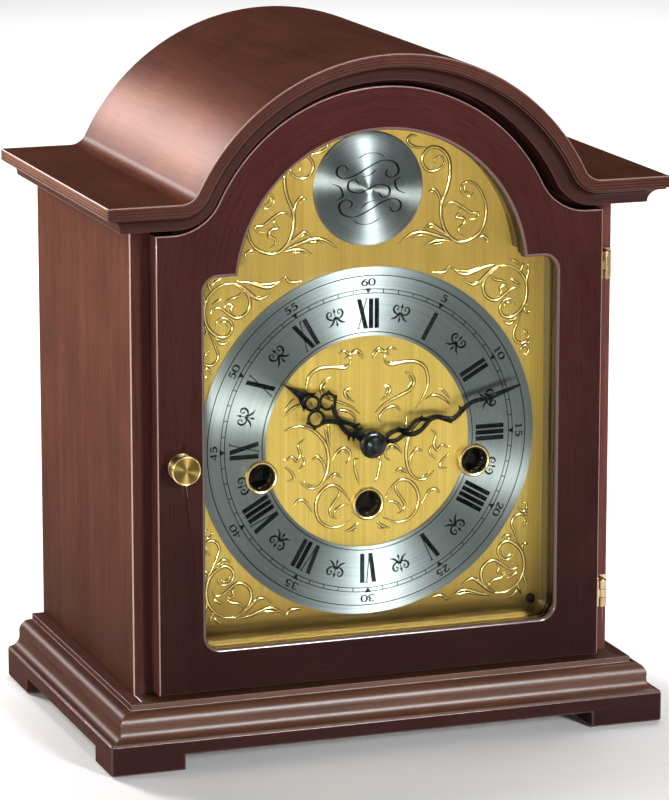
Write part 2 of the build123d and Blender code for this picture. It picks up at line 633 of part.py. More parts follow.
pts = []
for i in range(15):
    a = 2 * math.pi * i / 15
    for r, da in ((5.6, 0.0), (8.0, 0.16), (8.0, 0.20), (5.6, 0.24)):
        pts.append((r * math.cos(a + da), r * math.sin(a + da)))
ew = slab_y(poly(pts), -2.0, -1.0) - cyl_y(0, 0, -10, 10, 1.0)
for i in range(4):
    a = math.radians(45 + 90 * i)
    ew -= cyl_y(3.2 * math.cos(a), 3.2 * math.sin(a), -10, 10, 1.3)
ea = arbor(esc_x, cz + esc_z, 1.0, 0.6) + pinion(escape_pin_n, third_m, ph_esc_pin, esc_x, cz + esc_z, -21.0, -17.8)
save("escape_wheel", Pos(esc_x, 0, cz + esc_z) * ew, ea)

an = poly([(-1.6, 1.8), (1.6, 1.8), (8.6, -3.4), (8.2, -6.6), (7.0, -5.8), (6.6, -3.2), (1.4, -1.4), (-1.4, -1.4), (-6.6, -3.2), (-7.0, -5.8), (-8.2, -6.6), (-8.6, -3.4)])
fk_ = poly([(-1.5, -1.5), (1.5, -1.5), (1.0, 6.5), (1.9, 9.0), (1.9, 11.2), (0.8, 11.2), (0.8, 9.3), (-0.8, 9.3), (-0.8, 11.2), (-1.9, 11.2), (-1.9, 9.0), (-1.0, 6.5)])
pa = slab_y(an, -2.0, -1.0) + slab_y(fk_, 6.8, 7.8) + cyl_y(0, 0, -36.0, 8.2, 1.0) + cyl_y(0, 0, -37.9, -36.0, 0.6)
save("pallet_anchor", Pos(pal_x, 0, cz + pal_z) * pa)

bw = cyl_y(0, 0, 10.5, 12.5, 13.0) - cyl_y(0, 0, 10, 13, 11.2)
bw += box(-11.6, 11.6, 10.9, 12.1, -1.2, 1.2) + cyl_y(0, 0, 10.5, 12.5, 2.4)
bw += cyl_y(0, 0, 8.4, 9.2, 4.4) + cyl_y(0, 0, 6.2, 14.8, 0.9)
bw += cyl_y(0, 0, 4.6, 6.2, 0.5) + cyl_y(0, 0, 14.8, 17.0, 0.5) + cyl_y(0, -3.2, 6.9, 8.6, 0.4)
sp = [(1.2 + 6.0 * i / 80, 2 * math.pi * 5 * i / 80) for i in range(81)]
coil = [(r * math.cos(a), r * math.sin(a)) for r, a in sp] + [((r + 0.3) * math.cos(a), (r + 0.3) * math.sin(a)) for r, a in sp[::-1]]
hs = slab_y(poly(coil), 13.3, 14.0) + (cyl_y(0, 0, 13.0, 14.2, 1.45) - cyl_y(0, 0, 12, 15, 0.9))
save("balance_wheel", Pos(bal_x, 0, cz + bal_z) * (bw + hs))
bb = box(bal_x - 21, bal_x + 21, 15.0, 17.5, cz + bal_z - 4, cz + bal_z + 4)
for s in (-18, 18):
    bb += cyl_y(bal_x + s, cz + bal_z, bp_y[1], 15.0, 3.0)
bb -= cyl_y(bal_x, cz + bal_z, 14, 20, 0.5 + run_fit)
save("balance_bridge", bb)

# ------------------------------------------------------------------ barrels and winding arbors
for name, (x, z), ph in (("strike", winds[0], ph_great_s), ("chime", winds[1], ph_great_s), ("time", winds[2], ph_great_t)):
    b = cyl_y(x, z, *barrel_y, barrel_r) - cyl_y(x, z, barrel_y[0] - 1, barrel_y[0] + 0.8, barrel_r - 1.4)
    b += Pos(x, 0, z) * slab_y(poly(gear_pts(great_n, great_m, True, ph)), *great_y)
    b -= cyl_y(x, z, -40, 10, 4.0 + run_fit)
    save(name + "_barrel", b)
    w = cyl_y(x, z, -42.0, -26.5, 3.0) + cyl_y(x, z, -26.5, -4.4, 4.0) + cyl_y(x, z, -4.4, 7.2, 2.5)
    w += box(x - 2.1, x + 2.1, -49.4, -42.0, z - 2.1, z + 2.1)
    rt = []
    for i in range(20):
        a = 2 * math.pi * i / 20
        rt += [(9.5 * math.cos(a), 9.5 * math.sin(a)), (8.0 * math.cos(a + 0.04), 8.0 * math.sin(a + 0.04))]
    w += Pos(x, 0, z) * slab_y(poly(rt), -41.5, -39.5)
    save(name + "_winding_arbor", w)

# ------------------------------------------------------------------ strike and chime work
sw = spoked_wheel(60, 0.45, 0.0, -sec_x, cz + sec_z, -33.0, -31.6, 1.3, 4, 3.6, 2.6)
for i in range(8):
    a = 2 * math.pi * i / 8 + 0.1
    sw += cyl_y(-sec_x + 11.6 * math.cos(a), cz + sec_z + 11.6 * math.sin(a), -31.8, -28.6, 0.6)
sa = arbor(-sec_x, cz + sec_z, 1.3, 0.8) + pinion(great_pin_n, great_m, ph_sec_l, -sec_x, cz + sec_z, *pinion_y)
save("strike_pin_wheel", sw, sa)

da = cyl_y(sec_x, cz + sec_z, -36.0, 55.5, 1.8) + cyl_y(sec_x, cz + sec_z, -37.9, -36.0, 1.0) + cyl_y(sec_x, cz + sec_z, 55.5, 57.6, 1.0)
da += pinion(great_pin_n, great_m, ph_sec_r, sec_x, cz + sec_z, *pinion_y)
drum = cyl_y(sec_x, cz + sec_z, 11.0, 51.0, 9.0)
for j, y in enumerate(rod_ys):
    for i in range(8):
        a = math.radians(45 * i + 11.25 * j + 6)
        pin = Pos(sec_x, y, cz + sec_z) * Rot(0, math.degrees(a), 0) * Pos(9.5, 0, 0) * Rot(0, 90, 0) * Cylinder(0.5, 3.0)
        drum += pin
drum -= cyl_y(sec_x, cz + sec_z, 0, 60, 1.8)
save("chime_drum", drum, da)

hx, hz = hammer_x, cz + hammer_dz
for j, y in enumerate(rod_ys):
    h = cyl_y(hx, hz, y - 2.2, y + 2.2, 3.5)
    arm = poly([(v[0] + hx, v[1] + hz) for v in ribbon([(0.0, 0.0, 2.0), (-42.0, -61.0, 1.4)])])
    tail = poly([(v[0] + hx, v[1] + hz) for v in ribbon([(0.0, 0.0, 1.8), (15.5, 4.5, 1.1)])])
    h += slab_y(arm, y - 0.8, y + 0.8)
    h += slab_y(tail, y - 0.8, y + 0.8)
    h += cyl_z(hx - 42.0, y, rod_z + rod_r + 2.1, rod_z + rod_r + 14.5, 4.0)
    h -= cyl_y(hx, hz, y - 5, y + 5, 1.5 + run_fit)
    save("chime_hammer_%d" % (j + 1), h)

cb = box(22, 60, 56.0, 58.0, cz - 10, cz + 26)
for x, dz in ((30.0, 20.0), (54.0, -4.0)):
    cb += cyl_y(x, cz + dz, bp_y[1], 56.0, 2.5)
cb -= cyl_y(sec_x, cz + sec_z, 50, 60, 1.0 + run_fit)
save("chime_bridge", cb, cyl_y(hx, hz, bp_y[1], 56.0, 1.5))

block = box(-98.0, -84.0, 9.0, 53.0, base_top_z, 60.0)
rods = []
for y in rod_ys:
    r = cyl_x(y, rod_z, -93.0, 62.0, rod_r)
    block -= cyl_x(y, rod_z, -93.0, -80.0, rod_r)
    rods.append(r)
save("chime_rod_block", block)
save("chime_rods", *rods)

# ------------------------------------------------------------------ movement plates
z0, z1, w = cz + plate_dz[0], cz + plate_dz[1], plate_half_w
outline = poly([(-w + 12, z0), (w - 12, z0), (w, z0 + 12), (w, z1 - 10), (w - 10, z1), (-w + 10, z1), (-w, z1 - 10), (-w, z0 + 12)])
fp = slab_y(outline, *fp_y)
bp = slab_y(outline, *bp_y)


def bore(plate, x, z, r):
    return plate - cyl_y(x, z, -60, 30, r)


for x, z in winds:
    fp = bore(fp, x, z, 3.0 + run_fit)
    bp = bore(bp, x, z, 2.5 + run_fit)
for x, z, rf, rb in (
    (0, cz, arbor_r, 1.0),
    (third_x, cz + third_z, 0.7, 0.7),
    (esc_x, cz + esc_z, 0.6, 0.6),
    (pal_x, cz + pal_z, 0.6, 1.0),
    (-sec_x, cz + sec_z, 0.8, 0.8),
    (sec_x, cz + sec_z, 1.0, 1.8),
):
    fp = bore(fp, x, z, rf + run_fit)
    bp = bore(bp, x, z, rb + run_fit)
fp = bore(fp, mot_x, cz + mot_z, 1.0 + run_fit)
bp = bore(bp, bal_x, cz + bal_z, 0.5 + run_fit)

pillars, steel, brackets = [], [], []
for x, dz in ((-30, -37.5), (30, -37.5), (-56, 58), (56, 58)):
    pillars.append(cyl_y(x, cz + dz, fp_y[1], bp_y[0], 3.5))
    steel.append(cyl_y(x, cz + dz, bp_y[1], bp_y[1] + 1.6, 2.9) - box(x - 3, x + 3, bp_y[1] + 0.9, bp_y[1] + 3, cz + dz - 0.4, cz + dz + 0.4))
    if dz > 0:
        steel.append(cyl_y(x, cz + dz, fp_y[0] - 1.6, fp_y[0], 2.9) - box(x - 3, x + 3, fp_y[0] - 3, fp_y[0] - 0.9, cz + dz - 0.4, cz + dz + 0.4))
for x, dz in ((-30, -37.5), (30, -37.5), (-40, 44), (40, 44)):
    pillars.append(cyl_y(x, cz + dz, dial_y + dial_t, fp_y[0], 2.5))
for s in (-1, 1):
    for dz in (34.0, -33.0):
        z = cz + dz
        lo, hi = (54.0, 98.5) if s > 0 else (-98.5, -54.0)
        br = box(lo, hi, fp_y[0] - 1.5, fp_y[0], z - 5, z + 5)
        lo, hi = (98.5, case_inner) if s > 0 else (-case_inner, -98.5)
        br += box(lo, hi, fp_y[0] - 1.5, -20.0, z - 5, z + 5)
        sc = cyl_y(s * 59.0, z, fp_y[0] - 3.0, fp_y[0] - 1.5, 2.4) + cyl_y(s * 59.0, z, fp_y[0] - 1.5, fp_y[1], 1.2)
        br -= cyl_y(s * 59.0, z, -60, 0, 1.2)
        fp = bore(fp, s * 59.0, z, 1.2)
        a, b, c = sorted((s * 96.9, s * 98.5)), sorted((s * 98.5, s * 108.0)), s * 108.0
        sd = cyl_x(-27.0, z, a[0], a[1], 2.4) + cyl_x(-27.0, z, b[0], b[1], 1.2)
        br -= cyl_x(-27.0, z, b[0] - 1, b[1] + 1, 1.2)
        if s > 0:
            side_r -= cyl_x(-27.0, z, b[0], b[1], 1.2)
        else:
            side_l -= cyl_x(-27.0, z, b[0], b[1], 1.2)
        steel += [sc, sd]
        brackets.append(br)
save("side_panel_left", side_l)
save("side_panel_right", side_r)
save("front_plate", fp)
save("back_plate", bp)
save("pillars", *pillars)
save("steel_screws", *steel)
save("movement_brackets", *brackets)
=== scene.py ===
import json
import math

import bmesh
import bpy
import numpy as np
from mathutils import Matrix, Vector

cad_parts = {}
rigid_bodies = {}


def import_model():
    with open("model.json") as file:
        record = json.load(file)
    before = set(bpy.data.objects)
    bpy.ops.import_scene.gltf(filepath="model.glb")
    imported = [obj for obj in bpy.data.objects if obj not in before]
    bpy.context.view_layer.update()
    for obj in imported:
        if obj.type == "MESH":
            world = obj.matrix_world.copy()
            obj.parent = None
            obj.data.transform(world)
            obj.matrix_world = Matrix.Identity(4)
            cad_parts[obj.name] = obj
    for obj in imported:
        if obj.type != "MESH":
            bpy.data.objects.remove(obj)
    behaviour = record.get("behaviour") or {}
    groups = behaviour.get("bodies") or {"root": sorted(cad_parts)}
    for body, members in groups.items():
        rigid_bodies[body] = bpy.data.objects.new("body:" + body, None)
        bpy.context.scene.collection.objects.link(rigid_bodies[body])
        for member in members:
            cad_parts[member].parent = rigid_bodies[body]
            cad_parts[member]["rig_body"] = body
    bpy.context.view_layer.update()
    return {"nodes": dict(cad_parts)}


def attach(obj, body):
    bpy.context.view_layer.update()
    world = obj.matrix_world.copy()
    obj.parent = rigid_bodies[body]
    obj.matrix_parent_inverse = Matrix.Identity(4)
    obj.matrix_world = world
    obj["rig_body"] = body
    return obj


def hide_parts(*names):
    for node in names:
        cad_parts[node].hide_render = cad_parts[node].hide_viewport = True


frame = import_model()
NODES = frame["nodes"]
MM = 0.001

# ------------------------------------------------------------------ the clock's own dimensions, in mm, as in the CAD
CZ = 132.5
DIAL_Y = -51.0
RING_Y = -51.8
BOSS_Z, BOSS_R = 246.2, 25.5
WINDS = ((-50.2, 120.2), (50.2, 120.2), (0.0, 104.15))
KNOB = (-93.0, 132.5)
ARCH_ZC, ARCH_R = 210.9, 99.1
WING_Z = 250.05
MINUTE_DEG = 72.6
HOUR_DEG = 300.0 + MINUTE_DEG / 12.0


# ================================================================== material helpers
class Nodes:
    """Short hand for building one material's node tree."""

    def __init__(self, name):
        self.mat = bpy.data.materials.new(name)
        self.mat.use_nodes = True
        self.tree = self.mat.node_tree
        self.tree.nodes.clear()
        self.out = self.tree.nodes.new("ShaderNodeOutputMaterial")
        self.bsdf = self.tree.nodes.new("ShaderNodeBsdfPrincipled")
        self.tree.links.new(self.bsdf.outputs[0], self.out.inputs[0])

    def add(self, kind, **props):
        n = self.tree.nodes.new(kind)
        for k, v in props.items():
            setattr(n, k, v)
        return n

    def link(self, a, b):
        self.tree.links.new(a, b)

    def put(self, socket, value):
        if hasattr(value, "is_linked"):
            self.tree.links.new(value, socket)
        else:
            socket.default_value = value

    def math(self, op, a, b=0.0, c=0.0, clamp=False):
        n = self.add("ShaderNodeMath", operation=op, use_clamp=clamp)
        for s, v in zip(n.inputs, (a, b, c)):
            self.put(s, v)
        return n.outputs[0]

    def vmath(self, op, a, b=(0, 0, 0)):
        n = self.add("ShaderNodeVectorMath", operation=op)
        self.put(n.inputs[0], a)
        self.put(n.inputs[1], b)
        return n.outputs["Value"] if op in ("LENGTH", "DOT_PRODUCT", "DISTANCE") else n.outputs[0]

    def attr(self, name, out="Vector"):
        return self.add("ShaderNodeAttribute", attribute_name=name).outputs[out]

    def obj(self):
        return self.add("ShaderNodeTexCoord").outputs["Object"]

    def noise(self, vec, scale=1.0, detail=3.0, rough=0.55, distort=0.0):
        n = self.add("ShaderNodeTexNoise")
        self.put(n.inputs["Vector"], vec)
        self.put(n.inputs["Scale"], scale)
        self.put(n.inputs["Detail"], detail)
        self.put(n.inputs["Roughness"], rough)
        self.put(n.inputs["Distortion"], distort)
        return n.outputs["Fac"]

    def ramp(self, fac, stops, mode="LINEAR"):
        n = self.add("ShaderNodeValToRGB")
        n.color_ramp.interpolation = mode
        while len(n.color_ramp.elements) < len(stops):
            n.color_ramp.elements.new(0.5)
        for e, (p, c) in zip(n.color_ramp.elements, stops):
            e.position = p
            e.color = (c, c, c, 1) if isinstance(c, (int, float)) else (*c, 1)
        self.put(n.inputs[0], fac)
        return n.outputs[0]

    def mix(self, fac, a, b, mode="MIX"):
        n = self.add("ShaderNodeMix", data_type="RGBA", blend_type=mode)
        self.put(n.inputs[0], fac)
        for s, v in ((n.inputs[6], a), (n.inputs[7], b)):
            self.put(s, (*v, 1) if isinstance(v, tuple) and len(v) == 3 else v)
        return n.outputs[2]

    def bump(self, height, strength, distance, normal=None):
        n = self.add("ShaderNodeBump")
        n.inputs["Strength"].default_value = strength
        n.inputs["Distance"].default_value = distance
        self.put(n.inputs["Height"], height)
        if normal is not None:
            self.link(normal, n.inputs["Normal"])
        return n.outputs[0]

    def set(self, **kw):
        names = {
            "color": "Base Color", "metal": "Metallic", "rough": "Roughness", "spec": "Specular IOR Level",
            "aniso": "Anisotropic", "aniso_rot": "Anisotropic Rotation", "tangent": "Tangent", "normal": "Normal",
            "coat": "Coat Weight", "coat_rough": "Coat Roughness", "trans": "Transmission Weight", "alpha": "Alpha", "ior": "IOR",
        }
        for k, v in kw.items():
            s = self.bsdf.inputs[names[k]]
            self.put(s, (*v, 1) if isinstance(v, tuple) and len(v) == 3 and k == "color" else v)
        return self.mat


def wood(name, dark, light, pore, rough=0.5, coat=0.15, coat_rough=0.22, arris_wear_and_highlight=(0.16, 0.075, 0.055), arris_wear_and_highlight_amount=0.5, arris_gloss=0.35, figure=1.0, plies=0.0, bump=0.22, painted_height_shade=()):
    """Stained wood under satin lacquer. The 'grain' attribute runs (along, across, through) the fibres in metres."""
    m = Nodes(name)
    g = m.attr("grain")
    fig = m.noise(m.vmath("MULTIPLY", g, (5.0, 70.0, 70.0)), 1.0, 4.0, 0.6, 0.6)
    fib = m.noise(m.vmath("MULTIPLY", g, (22.0, 900.0, 900.0)), 1.0, 3.0, 0.6)
    mott = m.noise(m.vmath("MULTIPLY", g, (26.0, 34.0, 34.0)), 1.0, 2.0, 0.5)
    por = m.noise(m.vmath("MULTIPLY", g, (95.0, 2300.0, 2300.0)), 1.0, 2.0, 0.5)
    pores = m.ramp(por, [(0.30, 1.0), (0.42, 0.0)])
    tone = m.math("ADD", m.math("MULTIPLY", fig, 0.55 * figure), m.math("ADD", m.math("MULTIPLY", fib, 0.42), m.math("MULTIPLY", mott, 0.30)))
    fac = m.ramp(tone, [(0.42, 0.0), (0.86, 1.0)])
    col = m.mix(fac, dark, light)
    col = m.mix(m.math("MULTIPLY", pores, 0.55), col, pore)
    if plies:
        # glue lines between the layers, seen on the cut edges: waves through the thickness
        sep = m.add("ShaderNodeSeparateXYZ")
        m.link(g, sep.inputs[0])
        wave = m.math("SINE", m.math("MULTIPLY", sep.outputs[2], 2 * math.pi / (plies * MM)))
        lines = m.ramp(m.math("ADD", m.math("MULTIPLY", wave, 0.5), 0.5), [(0.0, 1.0), (0.45, 0.0)])
        edge = m.attr("edge", "Fac")
        col = m.mix(m.math("MULTIPLY", m.math("MULTIPLY", lines, edge), 0.75), col, pore)
    if painted_height_shade:
        # (height mm, colour factor): painted shade, darker towards the bottom and lighter at the top, standing in for
        # how the light falls off down the case
        up = m.add("ShaderNodeSeparateXYZ")
        m.link(m.obj(), up.inputs[0])
        wood_shade_height = m.math("ADD", m.math("MULTIPLY", up.outputs[2], 1.0 / 0.31), m.math("MULTIPLY", m.math("SUBTRACT", mott, 0.5), 0.08))
        col = m.mix(1.0, col, m.ramp(wood_shade_height, [(z / 310.0, k) for z, k in painted_height_shade]), "MULTIPLY")
    # lighter arrises: partly stain rubbed through, partly a painted highlight standing in for the light the rounded
    # edges catch
    col = m.mix(m.math("MULTIPLY", m.attr("arris_wear_and_highlight", "Fac"), arris_wear_and_highlight_amount), col, arris_wear_and_highlight)
    r = m.math("ADD", rough - 0.05, m.math("ADD", m.math("MULTIPLY", mott, 0.10), m.math("MULTIPLY", pores, 0.12)))
    h = m.math("SUBTRACT", m.math("MULTIPLY", fib, 0.35), m.math("MULTIPLY", pores, 0.8))
    gloss = m.math("ADD", coat, m.math("MULTIPLY", m.attr("shine", "Fac"), arris_gloss))
    return m.set(color=col, rough=r, spec=0.0, normal=m.bump(h, bump, 0.00006), coat=gloss, coat_rough=coat_rough)


def brushed_brass(name, a, b, axis="z", rough=0.30, aniso=0.75, painted_shade_colour=(0.30, 0.19, 0.045)):
    """Sheet brass brushed along one axis, under thin lacquer."""
    m = Nodes(name)
    p = m.obj()
    s1 = (2600.0, 2600.0, 9.0) if axis == "z" else (9.0, 2600.0, 2600.0)
    s2 = (420.0, 420.0, 3.0) if axis == "z" else (3.0, 420.0, 420.0)
    fine = m.noise(m.vmath("MULTIPLY", p, s1), 1.0, 3.0, 0.65)
    broad = m.noise(m.vmath("MULTIPLY", p, s2), 1.0, 3.0, 0.6)
    cloud = m.noise(m.vmath("MULTIPLY", p, (18.0, 18.0, 9.0)), 1.0, 2.0, 0.5)
    t = m.math("ADD", m.math("MULTIPLY", fine, 0.5), m.math("ADD", m.math("MULTIPLY", broad, 0.35), m.math("MULTIPLY", cloud, 0.15)))
    col = m.mix(m.ramp(t, [(0.36, 0.0), (0.64, 1.0)]), b, a)
    sep = m.add("ShaderNodeSeparateXYZ")
    m.link(p, sep.inputs[0])
    # painted shade: darker near the plate's bottom and top, standing in for the dark reflections there
    plate_shade_height = m.math("ADD", m.math("MULTIPLY", sep.outputs[2], 1.0 / 0.3), m.math("MULTIPLY", m.math("SUBTRACT", cloud, 0.5), 0.10))
    col = m.mix(m.ramp(plate_shade_height, [(0.20, 0.84), (0.31, 0.0), (0.56, 0.0), (0.70, 0.58)]), col, painted_shade_colour)
    tan = m.add("ShaderNodeTangent", direction_type="RADIAL", axis="Z")
    r = m.math("ADD", rough - 0.08, m.math("MULTIPLY", t, 0.16))
    return m.set(color=col, metal=1.0, rough=r, aniso=aniso, tangent=tan.outputs[0], normal=m.bump(fine, 0.10, 0.00002))


def turned_metal(name, a, b, centre, rough=0.28, aniso=0.8, groove=3600.0, bump=0.10, rim_polish_and_highlight=None):
    """Metal with circular brushing about an axis along Y through centre (mm); the rim entry: (radius mm, colour) of an
    edge that is polished, less rough, and lighter in colour, the lighter colour a painted highlight.
    """
    m = Nodes(name)
    p = m.vmath("SUBTRACT", m.obj(), (centre[0] * MM, 0.0, centre[1] * MM))
    p = m.vmath("MULTIPLY", p, (1.0, 0.0, 1.0))
    r = m.vmath("LENGTH", p)
    unit = m.vmath("NORMALIZE", p)
    ring = m.add("ShaderNodeCombineXYZ")
    m.link(m.math("MULTIPLY", r, groove), ring.inputs[0])
    vec = m.vmath("ADD", m.vmath("MULTIPLY", unit, (1.6, 0.0, 1.6)), ring.outputs[0])
    fine = m.noise(vec, 1.0, 2.0, 0.6)
    ring2 = m.add("ShaderNodeCombineXYZ")
    m.link(m.math("MULTIPLY", r, groove * 0.17), ring2.inputs[0])
    broad = m.noise(m.vmath("ADD", m.vmath("MULTIPLY", unit, (0.8, 0.0, 0.8)), ring2.outputs[0]), 1.0, 2.0, 0.6)
    t = m.math("ADD", m.math("MULTIPLY", fine, 0.6), m.math("MULTIPLY", broad, 0.4))
    col = m.mix(m.ramp(t, [(0.34, 0.0), (0.66, 1.0)]), b, a)
    tan = m.add("ShaderNodeTangent", direction_type="RADIAL", axis="Y")
    rr = m.math("ADD", rough - 0.07, m.math("MULTIPLY", t, 0.14))
    if rim_polish_and_highlight:
        # past this radius: less rough (polish) and lighter in colour (painted highlight)
        f = m.ramp(m.math("MULTIPLY", r, 100.0), [(rim_polish_and_highlight[0] * 0.1 - 0.012, 0.0), (rim_polish_and_highlight[0] * 0.1 + 0.012, 1.0)])
        col = m.mix(f, col, rim_polish_and_highlight[1])
        rr = m.math("SUBTRACT", rr, m.math("MULTIPLY", f, rough * 0.5))
    return m.set(color=col, metal=1.0, rough=rr, aniso=aniso, aniso_rot=0.25, tangent=tan.outputs[0], normal=m.bump(fine, bump, 0.00002))


def metal(name, a, b, rough=0.22, scale=900.0, metallic=1.0, spec=0.5, bump=0.05, spot=0.25):
    """Plain metal with handling marks: fine scratches, faint cloudy tarnish."""
    m = Nodes(name)
    p = m.obj()
    cloud = m.noise(p, 60.0, 4.0, 0.6)
    fine = m.noise(m.vmath("MULTIPLY", p, (scale, scale * 0.35, scale * 0.12)), 1.0, 3.0, 0.6)
    t = m.math("ADD", m.math("MULTIPLY", cloud, 0.6), m.math("MULTIPLY", fine, 0.4))
    col = m.mix(m.ramp(t, [(0.38, 0.0), (0.62, 1.0)]), b, a)
    r = m.math("ADD", rough - spot * 0.25, m.math("MULTIPLY", t, spot * 0.5))
    return m.set(color=col, metal=metallic, rough=r, spec=spec, normal=m.bump(fine, bump, 0.00002))


# ------------------------------------------------------------------ materials
M = {}
M["wood_case"] = wood("wood_case", (0.074, 0.0232, 0.0126), (0.148, 0.0510, 0.0280), (0.024, 0.008, 0.006), painted_height_shade=((35.0, 0.54), (110.0, 0.87), (200.0, 1.0)), coat=0.06, arris_wear_and_highlight=(0.46, 0.31, 0.265), arris_wear_and_highlight_amount=0.8)
M["wood_door"] = wood("wood_door", (0.0270, 0.0072, 0.0062), (0.0530, 0.0153, 0.0130), (0.009, 0.003, 0.003), painted_height_shade=((35.0, 0.37), (100.0, 0.55), (160.0, 0.69), (225.0, 0.76), (290.0, 1.0)), coat=0.16, coat_rough=0.14, arris_wear_and_highlight=(0.32, 0.215, 0.19), arris_wear_and_highlight_amount=0.8, arris_gloss=0.45)
M["wood_front"] = wood("wood_front", (0.030, 0.0088, 0.0074), (0.056, 0.0178, 0.0148), (0.010, 0.003, 0.003), coat=0.10, arris_wear_and_highlight=(0.46, 0.31, 0.265), arris_wear_and_highlight_amount=0.8)
# a lighter copy of the door's wood for faces that catch the light: painted light
M["wood_edge_lit_copy"] = wood("wood_edge_lit_copy", (0.062, 0.0205, 0.0160), (0.112, 0.0405, 0.0320), (0.020, 0.007, 0.005), coat=0.10, arris_wear_and_highlight=(0.30, 0.19, 0.16), arris_wear_and_highlight_amount=0.75)
M["wood_reveal"] = wood("wood_reveal", (0.0150, 0.0040, 0.0037), (0.0300, 0.0086, 0.0078), (0.007, 0.002, 0.002), coat=0.75, coat_rough=0.10, arris_wear_and_highlight=(0.26, 0.165, 0.145), arris_wear_and_highlight_amount=0.5, arris_gloss=0.0, bump=0.02)
# pale gold on the fixed frame's reveal: a painted reflection of the dial in the lacquered reveal
M["slip"] = wood("gilt_slip", (0.150, 0.118, 0.062), (0.230, 0.182, 0.098), (0.090, 0.066, 0.030), coat=0.50, coat_rough=0.16, arris_wear_and_highlight=(0.42, 0.34, 0.22), arris_wear_and_highlight_amount=0.6, arris_gloss=0.4, bump=0.03)
M["wood_plinth"] = wood("wood_plinth", (0.0160, 0.0050, 0.0046), (0.0330, 0.0104, 0.0094), (0.008, 0.003, 0.002), coat=0.20, arris_wear_and_highlight=(0.26, 0.165, 0.145), arris_wear_and_highlight_amount=0.7)
M["wood_return"] = wood("wood_return", (0.040, 0.0150, 0.0108), (0.078, 0.0300, 0.0210), (0.016, 0.006, 0.005), coat=0.07, arris_wear_and_highlight=(0.30, 0.19, 0.16), arris_wear_and_highlight_amount=0.7, arris_gloss=0.06)
M["wood_mould"] = wood("wood_mould", (0.0500, 0.0180, 0.0092), (0.0960, 0.0360, 0.0185), (0.018, 0.007, 0.005), coat=0.90, coat_rough=0.37, arris_wear_and_highlight=(0.24, 0.155, 0.13), arris_wear_and_highlight_amount=0.7, arris_gloss=0.1)
M["wood_mould_side"] = wood("wood_mould_side", (0.052, 0.0190, 0.0125), (0.098, 0.0380, 0.0250), (0.020, 0.008, 0.005), coat=0.11, coat_rough=0.38, arris_wear_and_highlight=(0.26, 0.16, 0.13), arris_wear_and_highlight_amount=0.6, arris_gloss=0.03)
M["wood_top"] = wood("wood_top", (0.036, 0.0112, 0.0062), (0.070, 0.0240, 0.0136), (0.016, 0.005, 0.004), coat=0.085, coat_rough=0.36, plies=1.2, arris_wear_and_highlight=(0.30, 0.19, 0.155), arris_wear_and_highlight_amount=0.6)
M["wood_top_edge"] = wood("wood_top_edge", (0.036, 0.0112, 0.0078), (0.072, 0.0250, 0.0175), (0.012, 0.004, 0.003), coat=0.16, coat_rough=0.3, plies=1.3, arris_wear_and_highlight=(0.30, 0.19, 0.16), arris_wear_and_highlight_amount=0.7)
M["wood_cove"] = wood("wood_cove", (0.018, 0.0052, 0.0044), (0.035, 0.0112, 0.0088), (0.010, 0.003, 0.003), coat=0.30, coat_rough=0.22, arris_wear_and_highlight=(0.24, 0.15, 0.125), arris_wear_and_highlight_amount=0.6)
# a lighter copy of the top's wood for the wing ends: painted light
M["wood_top_end_lit_copy"] = wood("wood_top_end_lit_copy", (0.100, 0.0440, 0.0290), (0.170, 0.0790, 0.0540), (0.030, 0.012, 0.008), coat=0.10, coat_rough=0.3, plies=1.3, arris_wear_and_highlight=(0.34, 0.22, 0.185), arris_wear_and_highlight_amount=0.7)
M["wood_cove_side"] = wood("wood_cove_side", (0.056, 0.0185, 0.0115), (0.112, 0.0400, 0.0250), (0.020, 0.007, 0.005), coat=0.06, arris_wear_and_highlight=(0.24, 0.15, 0.125), arris_wear_and_highlight_amount=0.5)
M["wood_inner"] = wood("wood_inner", (0.110, 0.060, 0.034), (0.230, 0.140, 0.080), (0.060, 0.032, 0.018), rough=0.6, coat=0.05, arris_wear_and_highlight=(0.30, 0.20, 0.12))
M["dial_brass"] = brushed_brass("dial_brass", (0.80, 0.60, 0.145), (0.54, 0.38, 0.080), rough=0.34, aniso=0.94)
M["silver"] = turned_metal("silver_ring", (0.250, 0.292, 0.283), (0.172, 0.206, 0.198), (0.0, CZ), rough=0.42, aniso=1.0)
M["silver_boss"] = turned_metal("silver_boss", (0.188, 0.219, 0.212), (0.129, 0.154, 0.149), (0.0, BOSS_Z), rough=0.42, aniso=1.0)
M["brass_knob"] = turned_metal("brass_knob", (0.25, 0.180, 0.052), (0.115, 0.078, 0.020), KNOB, rough=0.50, aniso=0.95, groove=5200.0, bump=0.25, rim_polish_and_highlight=(5.95, (0.90, 0.72, 0.34)))
M["brass"] = metal("brass_polished", (0.88, 0.70, 0.45), (0.50, 0.35, 0.17), rough=0.15)
M["brass_move"] = metal("brass_movement", (0.80, 0.60, 0.26), (0.58, 0.40, 0.15), rough=0.30, scale=1500.0)
M["steel"] = metal("steel_bright", (0.66, 0.66, 0.65), (0.46, 0.46, 0.46), rough=0.26)
M["black"] = metal("black_lacquer", (0.0026, 0.0034, 0.0032), (0.0013, 0.0017, 0.0015), rough=0.34, metallic=0.0, spec=0.07, bump=0.04)
M["nut"] = metal("black_nut", (0.0044, 0.0058, 0.0058), (0.0022, 0.0030, 0.0030), rough=0.22, metallic=0.0, spec=0.24, bump=0.05)
M["ink"] = metal("dial_black", (0.0014, 0.0021, 0.0018), (0.0008, 0.0012, 0.0010), rough=0.5, metallic=0.0, spec=0.01, bump=0.02)
